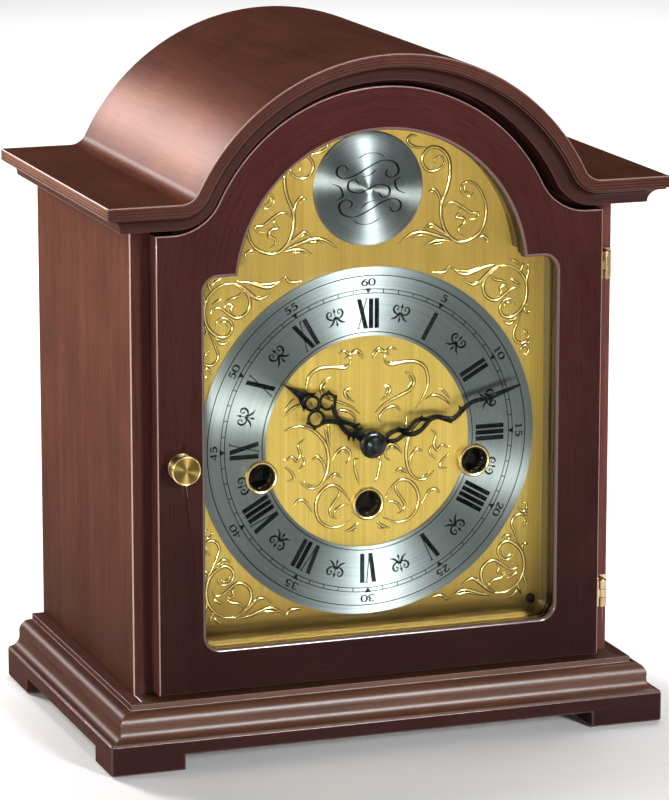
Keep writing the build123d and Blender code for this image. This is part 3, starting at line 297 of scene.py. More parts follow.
# near black: painted shade for the arbor ends seen deep in the winding holes
M["shaded_arbor_steel"] = metal("arbor_steel", (0.016, 0.0155, 0.014), (0.006, 0.006, 0.0055), rough=0.14)
M["iron"] = metal("cast_iron", (0.050, 0.050, 0.050), (0.025, 0.025, 0.025), rough=0.55, scale=300.0, metallic=0.0, bump=0.5)


def scroll_material():
    """Raised scrolls: bright polished tops, painted shade in dark brown along their feet."""
    m = Nodes("scroll_brass")
    h = m.attr("height", "Fac")
    n = m.noise(m.obj(), 700.0, 3.0, 0.6)
    # painted shade: the lower the point on a ridge, the darker, standing in for the shaded sides of the ridges
    foot_shade = m.ramp(m.math("ADD", h, m.math("MULTIPLY", m.math("SUBTRACT", n, 0.5), 0.30)), [(0.60, 1.0), (0.94, 0.0)])
    col = m.mix(m.ramp(n, [(0.35, 0.0), (0.65, 1.0)]), (0.70, 0.51, 0.13), (0.94, 0.76, 0.30))
    col = m.mix(m.math("MULTIPLY", foot_shade, 0.97), col, (0.034, 0.016, 0.003))
    return m.set(color=col, metal=1.0, rough=m.math("ADD", 0.17, m.math("MULTIPLY", foot_shade, 0.30)), normal=m.bump(n, 0.06, 0.00003))


def glass_material():
    m = Nodes("door_glass_clear")
    p = m.obj()
    smear = m.noise(m.vmath("MULTIPLY", p, (22.0, 22.0, 9.0)), 1.0, 4.0, 0.6)
    r = m.math("ADD", 0.005, m.math("MULTIPLY", m.ramp(smear, [(0.45, 0.0), (0.75, 1.0)]), 0.015))
    col = m.mix(smear, (0.98, 1.0, 0.995), (0.96, 0.985, 0.975))
    return m.set(color=col, rough=r, trans=1.0, ior=1.5, alpha=0.035)


def bush_material():
    """Turned brass rims; the bores painted black inside, painted shade for the deep dark holes."""
    m = Nodes("winding_bush_brass")
    p = m.obj()
    far = None
    for x, z in WINDS:
        d = m.vmath("SUBTRACT", p, (x * MM, 0.0, z * MM))
        d = m.vmath("LENGTH", m.vmath("MULTIPLY", d, (1.0, 0.0, 1.0)))
        far = d if far is None else m.math("MINIMUM", far, d)
    n = m.noise(p, 900.0, 3.0, 0.6)
    # painted shade: black inside each bore, where the hole is deep and dark
    bore_shade = m.ramp(m.math("MULTIPLY", far, 100.0), [(0.605, 1.0), (0.635, 0.0)])
    col = m.mix(m.ramp(n, [(0.35, 0.0), (0.65, 1.0)]), (0.62, 0.46, 0.17), (0.86, 0.68, 0.30))
    col = m.mix(bore_shade, col, (0.0024, 0.0022, 0.0018))
    return m.set(color=col, metal=m.math("SUBTRACT", 1.0, bore_shade), rough=m.math("ADD", 0.20, m.math("MULTIPLY", n, 0.10)), spec=0.2, normal=m.bump(n, 0.04, 0.00002))


M["bush"] = bush_material()
M["scroll"] = scroll_material()
M["glass"] = glass_material()


# ================================================================== mesh helpers
def add_object(name, mesh, body, mats, replaces=()):
    o = bpy.data.objects.new(name, mesh)
    bpy.context.scene.collection.objects.link(o)
    for m in mats if isinstance(mats, (list, tuple)) else [mats]:
        mesh.materials.append(m)
    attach(o, body)
    if replaces:
        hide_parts(*replaces)
    return o


def smooth(mesh, angle=35.0):
    mesh.polygons.foreach_set("use_smooth", [True] * len(mesh.polygons))
    mesh.set_sharp_from_angle(angle=math.radians(angle))


def cleaned(node):
    """A bmesh copy of a CAD node with its triangles merged into flat faces."""
    bm = bmesh.new()
    bm.from_mesh(NODES[node].data)
    bmesh.ops.remove_doubles(bm, verts=bm.verts, dist=2e-6)
    bmesh.ops.dissolve_limit(bm, angle_limit=math.radians(0.4), use_dissolve_boundaries=False, verts=bm.verts, edges=bm.edges, delimit=set())
    bm.normal_update()
    return bm


def from_node(node, name, mat, grain, bevels, angle=28.0, zones=None, joints=()):
    """A finished piece made from a CAD node: same shape, rounded arrises, grain directions, and the node is replaced by
    it.
    bevels: list of (test(edge middle in mm) or None for all that are left, width mm, segments, how much the arris is
    lightened 0 to 1, partly rubbed stain and partly painted highlight, or a function of the place).
    joints: (axis, mm) planes where one board meets the next, so no face spans two boards."""
    bm = cleaned(node)
    # this mark lightens the bevel faces: partly wear, partly a painted highlight
    mark = bm.faces.layers.float.new("arris_wear_and_highlight")
    shine = bm.faces.layers.float.new("shine")
    todo = [e for e in bm.edges if len(e.link_faces) == 2 and e.calc_face_angle(0.0) > math.radians(angle)]
    groups = [[] for _ in bevels]
    for e in todo:
        c = (e.verts[0].co + e.verts[1].co) / 2 / MM
        for i, (test, _, _, _) in enumerate(bevels):
            if test is None or test(c):
                groups[i].append(e)
                break
    for (_, width, seg, wear_and_highlight), edges in zip(bevels, groups):
        edges = [e for e in edges if e.is_valid]
        if edges and width > 0:
            made = bmesh.ops.bevel(bm, geom=edges, offset=width * MM, offset_type="OFFSET", segments=seg, profile=0.5, affect="EDGES", clamp_overlap=True, loop_slide=True)
            bm.normal_update()
            fresh = set(made["faces"])
            flat = {f for f in fresh if any(g not in fresh and f.normal.dot(g.normal) > 0.9995 for e in f.edges for g in e.link_faces)}
            for f in fresh - flat:
                f[mark] = wear_and_highlight(f.calc_center_median() / MM) if callable(wear_and_highlight) else wear_and_highlight
                f[shine] = 1.0
    for axis, at in joints:
        co, no = Vector((0, 0, 0)), Vector((0, 0, 0))
        co[axis], no[axis] = at * MM, 1.0
        bmesh.ops.bisect_plane(bm, geom=bm.verts[:] + bm.edges[:] + bm.faces[:], dist=1e-7, plane_co=co, plane_no=no)
    bmesh.ops.triangulate(bm, faces=[f for f in bm.faces if len(f.verts) > 4])
    border = [len(e.link_faces) == 2 and e.link_faces[0][shine] != e.link_faces[1][shine] for e in bm.edges]
    mesh = bpy.data.meshes.new(name)
    bm.to_mesh(mesh)
    bm.free()
    smooth(mesh, 40.0)
    for e, hard in zip(mesh.edges, border):
        if hard:
            e.use_edge_sharp = True
    set_grain(mesh, grain)
    if zones:
        idx = [zones(Vector(p.center) / MM, Vector(p.normal)) for p in mesh.polygons]
        mesh.polygons.foreach_set("material_index", idx)
    cut = mesh.attributes.new("edge", "FLOAT", "FACE")
    cut.data.foreach_set("value", [1.0 if abs(p.normal.y) > 0.5 or (abs(p.normal.x) > 0.8 and abs(p.center.x) > 0.128) else 0.0 for p in mesh.polygons])
    body = NODES[node]["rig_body"]
    o = add_object(name, mesh, body, mat, (node,))
    w = o.modifiers.new("flat_faces", "WEIGHTED_NORMAL")
    w.keep_sharp = True
    w.weight = 80
    return o


def set_grain(mesh, grain):
    """Stores the fibre coordinates on each face corner; the face's middle says which board it belongs to."""
    g = np.zeros((len(mesh.loops), 3), np.float32)
    for p in mesh.polygons:
        c = np.array(p.center) / MM
        for i in p.loop_indices:
            g[i] = grain(np.array(mesh.vertices[mesh.loops[i].vertex_index].co) / MM, c)
    a = mesh.attributes.new("grain", "FLOAT_VECTOR", "CORNER")
    a.data.foreach_set("vector", (g * MM).ravel())


def catmull(pts, per=7):
    """Points along a smooth line through pts; each point may carry extra numbers such as a width."""
    p = np.array(pts, float)
    if len(p) == 2:
        t = np.linspace(0, 1, per + 1)[:, None]
        return p[0] * (1 - t) + p[1] * t
    q = np.vstack([2 * p[0] - p[1], p, 2 * p[-1] - p[-2]])
    out = []
    for i in range(1, len(q) - 2):
        a, b, c, d = q[i - 1], q[i], q[i + 1], q[i + 2]
        for k in range(per):
            t = k / per
            out.append(0.5 * (2 * b + (c - a) * t + (2 * a - 5 * b + 4 * c - d) * t * t + (3 * b - a - 3 * c + d) * t**3))
    out.append(q[-2])
    return np.array(out)


SECTIONS = {
    "flat": (((-1.0, 0.0), (-1.0, 1.0), (1.0, 1.0), (1.0, 0.0)), 0.0),
    "strip": (((-1.0, 0.0), (-1.0, 0.5), (-0.6, 1.0), (0.6, 1.0), (1.0, 0.5), (1.0, 0.0)), 0.0),
    "ridge": (((-1.0, -0.1), (-1.0, 0.02), (-0.80, 0.30), (-0.52, 0.76), (-0.22, 0.97), (0.0, 1.0), (0.22, 0.97), (0.52, 0.76), (0.80, 0.30), (1.0, 0.02), (1.0, -0.1)), 0.05),
}


class Flat:
    """Collects thin closed shapes drawn on a plane facing -Y. Points are (x, z) in mm."""

    def __init__(self):
        self.v, self.f, self.h = [], [], []

    def loft(self, rings, heights):
        """rings: stations of the same number of (x, y, z) points, closed round, capped at both ends."""
        n0 = len(self.v)
        k = len(rings[0])
        for r in rings:
            self.v += [tuple(c * MM for c in p) for p in r]
            self.h += list(heights)
        for i in range(len(rings) - 1):
            for j in range(k):
                a, b = n0 + i * k + j, n0 + i * k + (j + 1) % k
                self.f.append((a, b, b + k, a + k))
        self.f.append(tuple(n0 + j for j in range(k))[::-1])
        self.f.append(tuple(n0 + (len(rings) - 1) * k + j for j in range(k)))

    def stroke(self, pts, y_back, y_front, per=7, section="flat", taper=None):
        """pts: (x, z, half width). A flat ribbon, a softened strip or a half round ridge along a smooth line."""
        prof, sink = SECTIONS[section]
        s = catmull(pts, per)
        n = len(s)
        d = np.gradient(s[:, :2], axis=0)
        d /= np.maximum(np.linalg.norm(d, axis=1), 1e-9)[:, None]
        nx = np.stack([-d[:, 1], d[:, 0]], 1)
        w = np.maximum(s[:, 2], 0.04)
        if taper is not None:
            w = w * np.array([taper(i / (n - 1)) for i in range(n)])
        rings = []
        for i in range(n):
            k = 1.0 if section != "ridge" else min(1.0, 0.25 + 0.75 * w[i] / max(w.max(), 1e-9))
            rings.append([(s[i, 0] + nx[i, 0] * w[i] * q, y_back + (y_front - y_back) * b * k + (sink if b <= 0 else 0.0), s[i, 1] + nx[i, 1] * w[i] * q) for q, b in prof])
        self.loft(rings, [max(b, 0.0) for _, b in prof])

    def polygon(self, pts, y_back, y_front):
        """A flat convex shape, given round its edge."""
        a = sum(pts[i][0] * pts[(i + 1) % len(pts)][1] - pts[(i + 1) % len(pts)][0] * pts[i][1] for i in range(len(pts)))
        pts = pts if a > 0 else pts[::-1]
        n0, k = len(self.v), len(pts)
        self.v += [(x * MM, y_front * MM, z * MM) for x, z in pts] + [(x * MM, y_back * MM, z * MM) for x, z in pts]
        self.h += [1.0] * k + [0.0] * k
        self.f.append(tuple(range(n0, n0 + k)))
        self.f.append(tuple(range(n0 + 2 * k - 1, n0 + k - 1, -1)))
        for j in range(k):
            m = (j + 1) % k
            self.f.append((n0 + j, n0 + k + j, n0 + k + m, n0 + m))

    def annulus(self, c, r0, r1, y_back, y_front, n=240):
        n0 = len(self.v)
        for i in range(n):
            a = 2 * math.pi * i / n
            for r, y in ((r0, y_back), (r0, y_front), (r1, y_front), (r1, y_back)):
                self.v.append(((c[0] + r * math.sin(a)) * MM, y * MM, (c[1] + r * math.cos(a)) * MM))
            self.h += [0.0, 1.0, 1.0, 0.0]
        for i in range(n):
            for j in range(4):
                a, b = n0 + i * 4 + j, n0 + i * 4 + (j + 1) % 4
                c2, d2 = n0 + ((i + 1) % n) * 4 + (j + 1) % 4, n0 + ((i + 1) % n) * 4 + j
                self.f.append((a, b, c2, d2))

    def mesh(self, name, angle=50.0):
        me = bpy.data.meshes.new(name)
        me.from_pydata(self.v, [], self.f)
        bm = bmesh.new()
        bm.from_mesh(me)
        bmesh.ops.recalc_face_normals(bm, faces=bm.faces)
        bm.to_mesh(me)
        bm.free()
        a = me.attributes.new("height", "FLOAT", "POINT")
        a.data.foreach_set("value", np.array(self.h, np.float32))
        smooth(me, angle)
        return me


# ================================================================== wooden case
def along_x(p, c):
    return (p[0], p[2], p[1])


def along_z(p, c):
    return (p[2], p[0], p[1])


def shifted(fn, d):
    return lambda p, c: tuple(a + b for a, b in zip(fn(p, c), d))


def round_top(p, c):
    """Distance along the top's curve, and height over its upper face."""
    x, y, z = p
    if abs(c[0]) > 92.0:
        return math.copysign(98.0 * math.radians(66.0) + (abs(x) - 92.0), c[0]), z - WING_Z
    return math.atan2(x, z - ARCH_ZC) * 98.0, math.hypot(x, z - ARCH_ZC) - ARCH_R


def along_arch(p, c):
    """Fibres run front to back on the bent top; across runs along its curve."""
    s, dz = round_top(p, c)
    return (p[1] + 400.0, s, dz)


def along_cove(p, c):
    s, dz = round_top(p, c)
    return (s, p[1], dz)


def door_grain(p, c):
    """Stiles and bottom rail straight, the arched head along its curve."""
    x, y, z = p
    if c[2] > 214.6:
        return (math.atan2(x, z - 207.9) * 80.0 + 700.0, math.hypot(x, z - 207.9), y)
    if c[2] < 49.2 and abs(c[0]) < 81.8:
        return (x + 300.0, z, y)
    return (z, x, y)


def return_grain(p, c):
    x, y, z = p
    return (x + 900.0, z, y) if abs(c[0]) < 99.0 else (y + math.copysign(333.0, c[0]), z, abs(x))


DOOR_JOINTS = ((2, 214.6), (2, 49.2), (0, -81.8), (0, 81.8))


def is_open_edge(c):
    """On the edge of the door's glazed opening, at its front."""
    inside = math.hypot(c[0], c[2] - 207.9) < 75.0 or (abs(c[0]) < 84.0 and 47.0 < c[2] < 217.0)
    return inside


W = M["wood_case"]
def front_edge(c, n):
    """The sides' front edges take the door's dark stain on the left and a lighter copy on the right, painted light for
    the light that edge catches.
    """
    return 1 if n.y < -0.5 else 0


def reveal(c, n):
    """Faces inside the opening are polished; the door's outer side faces get a lighter copy of the wood, painted light
    for the light they catch.
    """
    if abs(n.y) < 0.3 and is_open_edge(c):
        return 1
    return 2 if abs(n.x) > 0.7 and abs(c[0]) > 103.0 else 0


def slip_zone(c, n):
    """The fixed frame's opening and its rounded edge get a pale gold colour: a painted reflection of the brass dial in
    the lacquered reveal.
    """
    return 1 if is_open_edge(c) and n.y > -0.97 else 0


def top_zone(c, n):
    """Front edge and wing ends show the cut layers; the wing ends are also much lighter, painted light standing in for
    the side light they catch.
    """
    return 1 if n.y < -0.5 else (2 if abs(n.x) > 0.8 and abs(c[0]) > 128.0 else 0)


def is_door_arris(c):
    return abs(c[1] + 71.0) < 0.05 and not (abs(c[0] + 93) < 3 and abs(c[2] - 132.5) < 3)


def top_depth(c):
    """How far below the top's upper face this point lies, in mm, measured through the board."""
    x, z = abs(c[0]), c[2]
    fx, fz = 96.16, WING_Z + 8.0
    if x >= fx:
        return WING_Z - z
    if z < fz and math.atan2(fx - x, fz - z) <= math.atan2(fx, fz - ARCH_ZC):
        return math.hypot(x - fx, z - fz) - 8.0
    return ARCH_R - math.hypot(x, z - ARCH_ZC)


WL, WR = [W, M["wood_front"]], [W, M["wood_edge_lit_copy"]]
WT = [M["wood_top"], M["wood_top_edge"], M["wood_top_end_lit_copy"]]
WF = [M["wood_door"], M["slip"], M["wood_edge_lit_copy"]]
WD = [M["wood_door"], M["wood_reveal"], M["wood_edge_lit_copy"]]
from_node("side_panel_left", "case_side_left", WL, shifted(along_z, (0.0, 0.0, 50.0)), [(lambda c: c[0] < -111.9 and c[1] < -59.7 and 40.0 < c[2] < 240.0, 0.55, 3, 1.0)], zones=front_edge)
from_node("side_panel_right", "case_side_right", WR, shifted(along_z, (700.0, 90.0, 0.0)), [(lambda c: c[1] > 85.0, 0.4, 2, 0.4)], zones=front_edge)
from_node("plinth_front", "plinth_board_front", M["wood_plinth"], along_x, [(None, 0.7, 3, lambda c: 0.9 if c[2] > 13.0 and c[1] < -83.0 else 0.25)])
from_node("plinth_returns", "plinth_boards_side", M["wood_return"], return_grain, [(lambda c: c[1] > 74.0 and (abs(c[0]) < 99.5 or (c[1] > 85.5 and c[2] > 13.4)), 0.0, 1, 0.0), (None, 0.7, 3, lambda c: 0.6 if c[2] > 13.0 and abs(c[0]) > 128.5 else 0.2)], joints=((0, -99.0), (0, 99.0)))
from_node("base_moulding_front", "base_ogee_front", M["wood_mould"], shifted(along_x, (150.0, 40.0, 0.0)), [(None, 0.40, 2, 0.35)])
from_node("base_moulding_returns", "base_ogee_sides", M["wood_mould_side"], shifted(return_grain, (60.0, 30.0, 0.0)), [(None, 0.40, 2, 0.30)], joints=((0, -99.0), (0, 99.0)))
from_node("arched_top", "bent_top", WT, along_arch, [(None, 0.5, 3, lambda c: 0.8 if top_depth(c) < 2.0 and (c[1] < -85.0 or abs(c[0]) > 128.3) else 0.0)], zones=top_zone, joints=((0, -92.0), (0, 92.0)))
from_node("cornice_cove_front", "cove_front", M["wood_cove"], along_cove, [(None, 0.35, 2, 0.15)], angle=32.0, joints=((0, -92.0), (0, 92.0)))
from_node("cornice_cove_returns", "cove_sides", M["wood_cove_side"], return_grain, [(None, 0.35, 2, 0.2)], angle=32.0, joints=((0, -99.0), (0, 99.0)))
from_node("base_board", "case_floor", M["wood_inner"], shifted(along_x, (40.0, 7.0, 3.0)), [(None, 0.3, 2, 1.0)])
from_node("front_frame", "dial_surround", WF, shifted(door_grain, (90.0, 20.0, 5.0)), [(lambda c: abs(c[1] + 59.8) < 0.05 and is_open_edge(c), 1.2, 5, 0.5)], zones=slip_zone, joints=DOOR_JOINTS)
from_node("back_frame", "back_panel", M["wood_inner"], shifted(along_z, (400.0, 11.0, 3.0)), [(lambda c: c[1] > 85.7, 0.4, 2, 1.0)])
from_node("rear_door", "rear_door_panel", M["wood_inner"], shifted(along_z, (20.0, 300.0, 3.0)), [(None, 0.35, 2, 1.0)])
from_node("door_frame", "door_leaf", WD, door_grain, [(lambda c: abs(c[1] + 71.0) < 0.05 and is_open_edge(c), 1.4, 5, 0.30), (is_door_arris, 0.5, 3, lambda c: 0.1 if c[2] < 31.0 else (1.0 if c[2] < 222.0 and abs(c[0]) > 102.5 else 0.75))], zones=reveal, joints=DOOR_JOINTS)
from_node("glass_retainer", "glass_bead", M["wood_reveal"], shifted(door_grain, (500.0, 60.0, 5.0)), [(None, 0.3, 2, 0.0)], joints=DOOR_JOINTS)

# ================================================================== CAD nodes that keep their shape
KEEP = {
    "dial_brass": ["dial_plate"],
    "silver": ["chapter_ring"],
    "silver_boss": ["arch_boss"],
    "brass_knob": ["door_knob"],
    "bush": ["winding_bushes"],
    "shaded_arbor_steel": ["time_winding_arbor", "strike_winding_arbor", "chime_winding_arbor"],
    "brass": ["case_hinge_leaves", "door_hinge_leaves", "rear_hinge_leaves", "hinge_pins", "brass_screws"],
    "black": ["dial_screws"],
    "nut": ["hand_nut"],
    "steel": ["door_magnet", "door_strike_plate", "steel_screws", "movement_brackets", "chime_rods", "pallet_anchor"],
    "brass_move": ["front_plate", "back_plate", "pillars", "balance_bridge", "chime_bridge", "centre_arbor", "hour_wheel", "minute_wheel", "time_barrel", "third_wheel", "escape_wheel", "balance_wheel", "strike_barrel", "strike_pin_wheel", "chime_barrel", "chime_drum", "chime_hammer_1", "chime_hammer_2", "chime_hammer_3", "chime_hammer_4"],
    "iron": ["chime_rod_block"],
    "glass": ["door_glass"],
}
for key, names in KEEP.items():
    for n in names:
        slots = NODES[n].material_slots
        if slots:
            for s in slots:
                s.material = M[key]
        else:
            NODES[n].data.materials.append(M[key])

# ================================================================== scrollwork on the dial plate: (half width share, centre line)
CORNER = [
    (1.00, [(61.8, 57.3), (67.1, 57.6), (71.5, 60.1), (74.2, 63.5), (75.6, 68.1), (75.1, 73.4), (73.2, 77.2), (70.2, 79.9), (67.1, 81.0), (64.0, 79.7), (62.7, 76.6), (64.0, 73.7), (67.1, 72.3), (69.7, 73.5), (70.2, 75.9)]),
    (0.70, [(64.5, 76.8), (65.4, 74.7), (67.3, 74.0), (68.8, 75.0)]),
    (0.85, [(74.3, 77.1), (71.9, 81.8), (70.2, 86.0), (69.3, 88.9), (70.5, 91.9), (73.2, 93.1), (75.8, 92.1), (76.9, 89.7), (76.0, 87.8), (73.4, 86.5)]),
    (0.60, [(75.4, 90.3), (75.6, 88.9), (74.3, 87.6)]),
    (0.95, [(61.8, 57.3), (58.4, 59.0), (55.8, 62.4), (54.6, 66.1), (55.4, 69.7), (58.0, 72.1), (61.0, 72.7), (64.0, 71.1), (66.2, 69.3), (68.8, 67.8), (71.7, 68.1), (72.7, 70.2)]),
    (0.80, [(61.8, 71.5), (63.3, 69.1), (62.7, 67.1), (65.2, 66.3), (66.3, 67.7)]),
    (0.80, [(67.6, 63.5), (70.2, 65.1), (72.3, 66.4)]),
    (0.80, [(58.0, 61.0), (60.1, 63.2), (64.0, 64.2), (66.4, 65.9)]),
    (1.00, [(61.8, 57.3), (57.6, 59.5), (53.6, 63.1), (50.6, 65.0), (47.6, 64.2), (45.1, 62.3)]),
    (0.70, [(61.0, 58.2), (57.1, 61.1), (53.3, 64.1), (50.2, 63.8)]),
    (1.05, [(60.6, 56.4), (55.0, 57.4), (50.6, 59.0), (46.3, 60.1), (42.5, 58.9), (38.4, 55.7)]),
    (0.70, [(53.3, 57.1), (48.5, 58.6), (44.2, 58.4), (40.8, 57.6)]),
    (0.90, [(38.4, 55.7), (36.8, 57.9), (34.3, 58.6), (30.4, 58.1)]),
    (0.80, [(75.6, 68.5), (75.4, 64.1), (76.3, 60.9), (75.8, 57.1)]),
    (0.80, [(72.3, 60.2), (73.4, 57.9), (74.3, 55.6)]),
    (0.80, [(71.9, 57.6), (70.2, 55.8), (67.3, 54.8)]),
    (0.80, [(75.4, 75.4), (74.5, 77.9), (76.0, 79.4), (77.3, 78.5)]),
    (0.85, [(70.3, 81.3), (68.4, 83.7), (66.2, 83.7), (64.2, 82.3)]),
    (0.60, [(71.0, 80.3), (68.8, 81.9), (66.4, 82.1)]),
    (0.80, [(72.5, 97.4), (73.2, 95.1), (75.1, 94.3), (76.6, 95.8), (76.0, 98.1), (74.3, 98.0)]),
    (0.60, [(75.8, 92.9), (77.1, 93.7)]),
]
ARCH = [
    (0.90, [(23.0, 268.1), (20.2, 268.5), (18.5, 266.6), (20.0, 264.3), (23.6, 263.0), (27.3, 262.9)]),
    (1.00, [(31.6, 255.5), (31.4, 257.5), (34.2, 258.6), (35.8, 255.7), (33.6, 253.0), (30.1, 252.1), (27.1, 253.3), (25.3, 256.9), (26.2, 260.1), (28.3, 262.2), (31.1, 262.9), (34.7, 261.4), (37.4, 258.4), (38.5, 254.2), (38.4, 249.5), (37.2, 243.9), (35.4, 239.7), (34.3, 235.6), (34.5, 230.9), (36.2, 225.6), (39.3, 221.6), (43.2, 219.7), (47.9, 220.4), (51.9, 222.7), (54.6, 226.4), (55.7, 231.5), (55.3, 236.6), (53.6, 241.0), (51.3, 244.4), (47.8, 246.5), (44.8, 245.8), (43.4, 243.4), (44.8, 240.6), (47.8, 239.8), (49.6, 241.5)]),
    (0.65, [(45.0, 244.3), (45.9, 242.1), (48.3, 241.3)]),
    (0.85, [(34.2, 233.5), (34.2, 237.7), (33.1, 241.7), (30.7, 244.1), (28.4, 242.7)]),
    (0.60, [(28.4, 242.7), (30.1, 243.0), (31.6, 241.7)]),
    (0.85, [(35.4, 235.6), (38.2, 237.5), (41.2, 237.2), (44.8, 235.0), (48.3, 232.6), (52.0, 232.0), (50.9, 229.8), (47.8, 229.4)]),
    (0.85, [(42.8, 235.6), (43.3, 233.2), (41.6, 230.9), (45.0, 230.2), (45.4, 227.8), (43.2, 226.1), (42.9, 224.0), (45.5, 222.1)]),
    (0.60, [(44.6, 226.5), (46.3, 227.7), (45.9, 229.7)]),
    (1.00, [(39.3, 221.6), (36.2, 224.0), (33.1, 226.4), (29.3, 228.5), (26.2, 226.2)]),
    (0.70, [(37.7, 222.0), (34.2, 224.8), (30.1, 227.1), (27.6, 226.4)]),
    (1.05, [(38.7, 221.1), (32.2, 223.3), (27.1, 224.9), (22.5, 225.1), (18.0, 223.3), (14.2, 220.1)]),
    (0.70, [(29.1, 223.5), (24.5, 223.8), (20.5, 222.5)]),
    (0.95, [(40.8, 220.0), (35.1, 220.9), (30.1, 220.5), (26.0, 218.7)]),
    (0.60, [(36.2, 220.0), (32.2, 219.5), (29.1, 219.0)]),
    (0.85, [(51.3, 221.0), (54.3, 221.7), (56.6, 220.0), (56.2, 218.3)]),
    (0.60, [(53.4, 221.0), (55.0, 219.9)]),
]
CENTRE = [
    (1.00, [(-39.1, 139.9), (-34.2, 141.5), (-28.5, 140.9), (-23.5, 137.6), (-19.7, 132.5), (-18.3, 125.9), (-19.1, 119.4), (-21.6, 114.9), (-25.4, 112.9), (-29.1, 113.8), (-31.8, 116.7)]),
    (0.60, [(-29.8, 116.5), (-27.6, 114.5), (-24.7, 114.4)]),
    (0.70, [(-20.3, 140.2), (-19.2, 136.0), (-18.4, 131.2)]),
    (0.70, [(-18.4, 142.1), (-18.1, 137.1), (-17.5, 130.9)]),
    (0.85, [(-29.6, 135.8), (-32.5, 132.9), (-31.5, 128.8), (-33.2, 125.9), (-35.4, 128.2), (-37.9, 126.9), (-39.1, 127.3)]),
    (0.75, [(-30.7, 128.4), (-29.6, 125.0), (-32.4, 121.6)]),
    (0.80, [(-39.1, 124.1), (-35.5, 120.8), (-34.6, 117.9), (-38.0, 117.2)]),
    (0.85, [(-26.2, 126.0), (-23.0, 126.9), (-20.4, 123.2), (-20.0, 118.9)]),
    (0.50, [(-24.4, 127.9), (-22.2, 127.7)]),
    (0.90, [(-16.4, 125.4), (-14.0, 129.1), (-10.7, 130.3), (-8.2, 128.0), (-8.8, 124.5), (-10.5, 123.0)]),
    (0.60, [(-14.6, 127.3), (-11.5, 129.1), (-9.1, 127.1)]),
    (0.85, [(-19.1, 116.2), (-15.4, 118.8), (-12.4, 116.7)]),
    (0.55, [(-17.5, 116.6), (-14.6, 117.9)]),
    (1.00, [(-8.2, 105.8), (-11.5, 110.5), (-15.3, 113.5), (-19.7, 112.9), (-23.2, 109.1), (-24.4, 103.9), (-22.8, 98.4), (-18.4, 94.8), (-12.8, 94.6), (-7.3, 97.2)]),
    (0.85, [(-14.0, 112.5), (-13.3, 109.4), (-15.9, 105.5), (-17.8, 102.0), (-16.4, 99.1), (-14.2, 98.2)]),
    (0.80, [(-15.7, 99.6), (-15.0, 102.1), (-12.0, 104.1), (-8.8, 104.2)]),
    (0.90, [(-34.6, 105.9), (-32.4, 108.1), (-29.1, 107.2), (-25.9, 101.9)]),
    (0.55, [(-33.5, 107.4), (-30.7, 108.0)]),
    (0.90, [(-13.7, 173.0), (-10.9, 174.2), (-8.3, 172.5), (-5.2, 174.1), (-2.6, 172.0), (-2.5, 169.5)]),
    (0.60, [(-10.9, 170.6), (-8.3, 172.0), (-4.9, 172.9), (-3.2, 170.8)]),
    (1.00, [(-8.2, 171.2), (-8.3, 168.3), (-11.0, 166.4), (-17.8, 167.3), (-23.5, 166.7), (-27.2, 163.9), (-28.6, 158.6), (-27.9, 153.9), (-24.7, 148.3), (-21.6, 143.9)]),
    (0.60, [(-9.5, 167.8), (-14.0, 167.4), (-19.1, 167.8)]),
    (0.95, [(-17.5, 162.8), (-20.8, 161.0), (-22.0, 157.6), (-19.7, 154.2), (-14.0, 151.6), (-7.7, 148.7), (-3.5, 145.1)]),
    (0.60, [(-19.1, 161.1), (-20.6, 158.3), (-19.1, 155.5)]),
    (0.90, [(-7.8, 157.4), (-10.5, 156.1), (-10.1, 153.5), (-6.2, 150.6)]),
    (0.50, [(-8.3, 156.7), (-9.3, 154.7), (-7.7, 152.2)]),
    (0.90, [(-15.7, 145.2), (-12.8, 147.5), (-8.2, 146.3), (-5.6, 143.1), (-6.4, 140.6)]),
    (0.70, [(-6.1, 122.7), (-5.8, 124.5), (-3.9, 124.7)]),
    (0.85, [(-6.3, 123.6), (-5.8, 120.1), (-4.7, 115.8), (-3.5, 113.0)]),
    (0.90, [(-39.1, 146.4), (-35.4, 149.8), (-31.0, 151.2), (-27.2, 149.4)]),
    (0.70, [(-39.1, 148.9), (-36.0, 152.8), (-34.2, 154.3)]),
    (0.90, [(-4.4, 95.6), (-7.0, 93.3), (-10.7, 91.9)]),
    (0.55, [(-4.9, 93.0), (-7.7, 91.7)]),
]


def leaf_taper(t):
    """Fine at both ends, fullest a little before the middle."""
    return 0.30 + 0.70 * math.sin(math.pi * min(max(t, 0.0), 1.0) ** 0.85) ** 0.8


scrolls = Flat()
SCROLL_W, SCROLL_H = 0.90, 0.46
for share, line in CORNER:
    for sx in (1, -1):
        for sz in (1, -1):
            pts = [(sx * x, CZ + sz * (z - CZ), SCROLL_W * share) for x, z in line]
            scrolls.stroke(pts, DIAL_Y, DIAL_Y - SCROLL_H, 6, "ridge", leaf_taper)
for group in (ARCH, CENTRE):
    for share, line in group:
        for sx in (1, -1):
            scrolls.stroke([(sx * x, z, SCROLL_W * share) for x, z in line], DIAL_Y, DIAL_Y - SCROLL_H, 6, "ridge", leaf_taper)
add_object("dial_scrollwork", scrolls.mesh("dial_scrollwork"), "case", M["scroll"])

# ================================================================== markings on the chapter ring
marks = Flat()
YB, YF = RING_Y + 0.03, RING_Y - 0.05


def polar(deg, r, side=0.0):
    """A point at clock angle deg, radius r, moved clockwise along the tangent by side."""
    a = math.radians(deg)
    return (r * math.sin(a) + side * math.cos(a), CZ + r * math.cos(a) - side * math.sin(a))


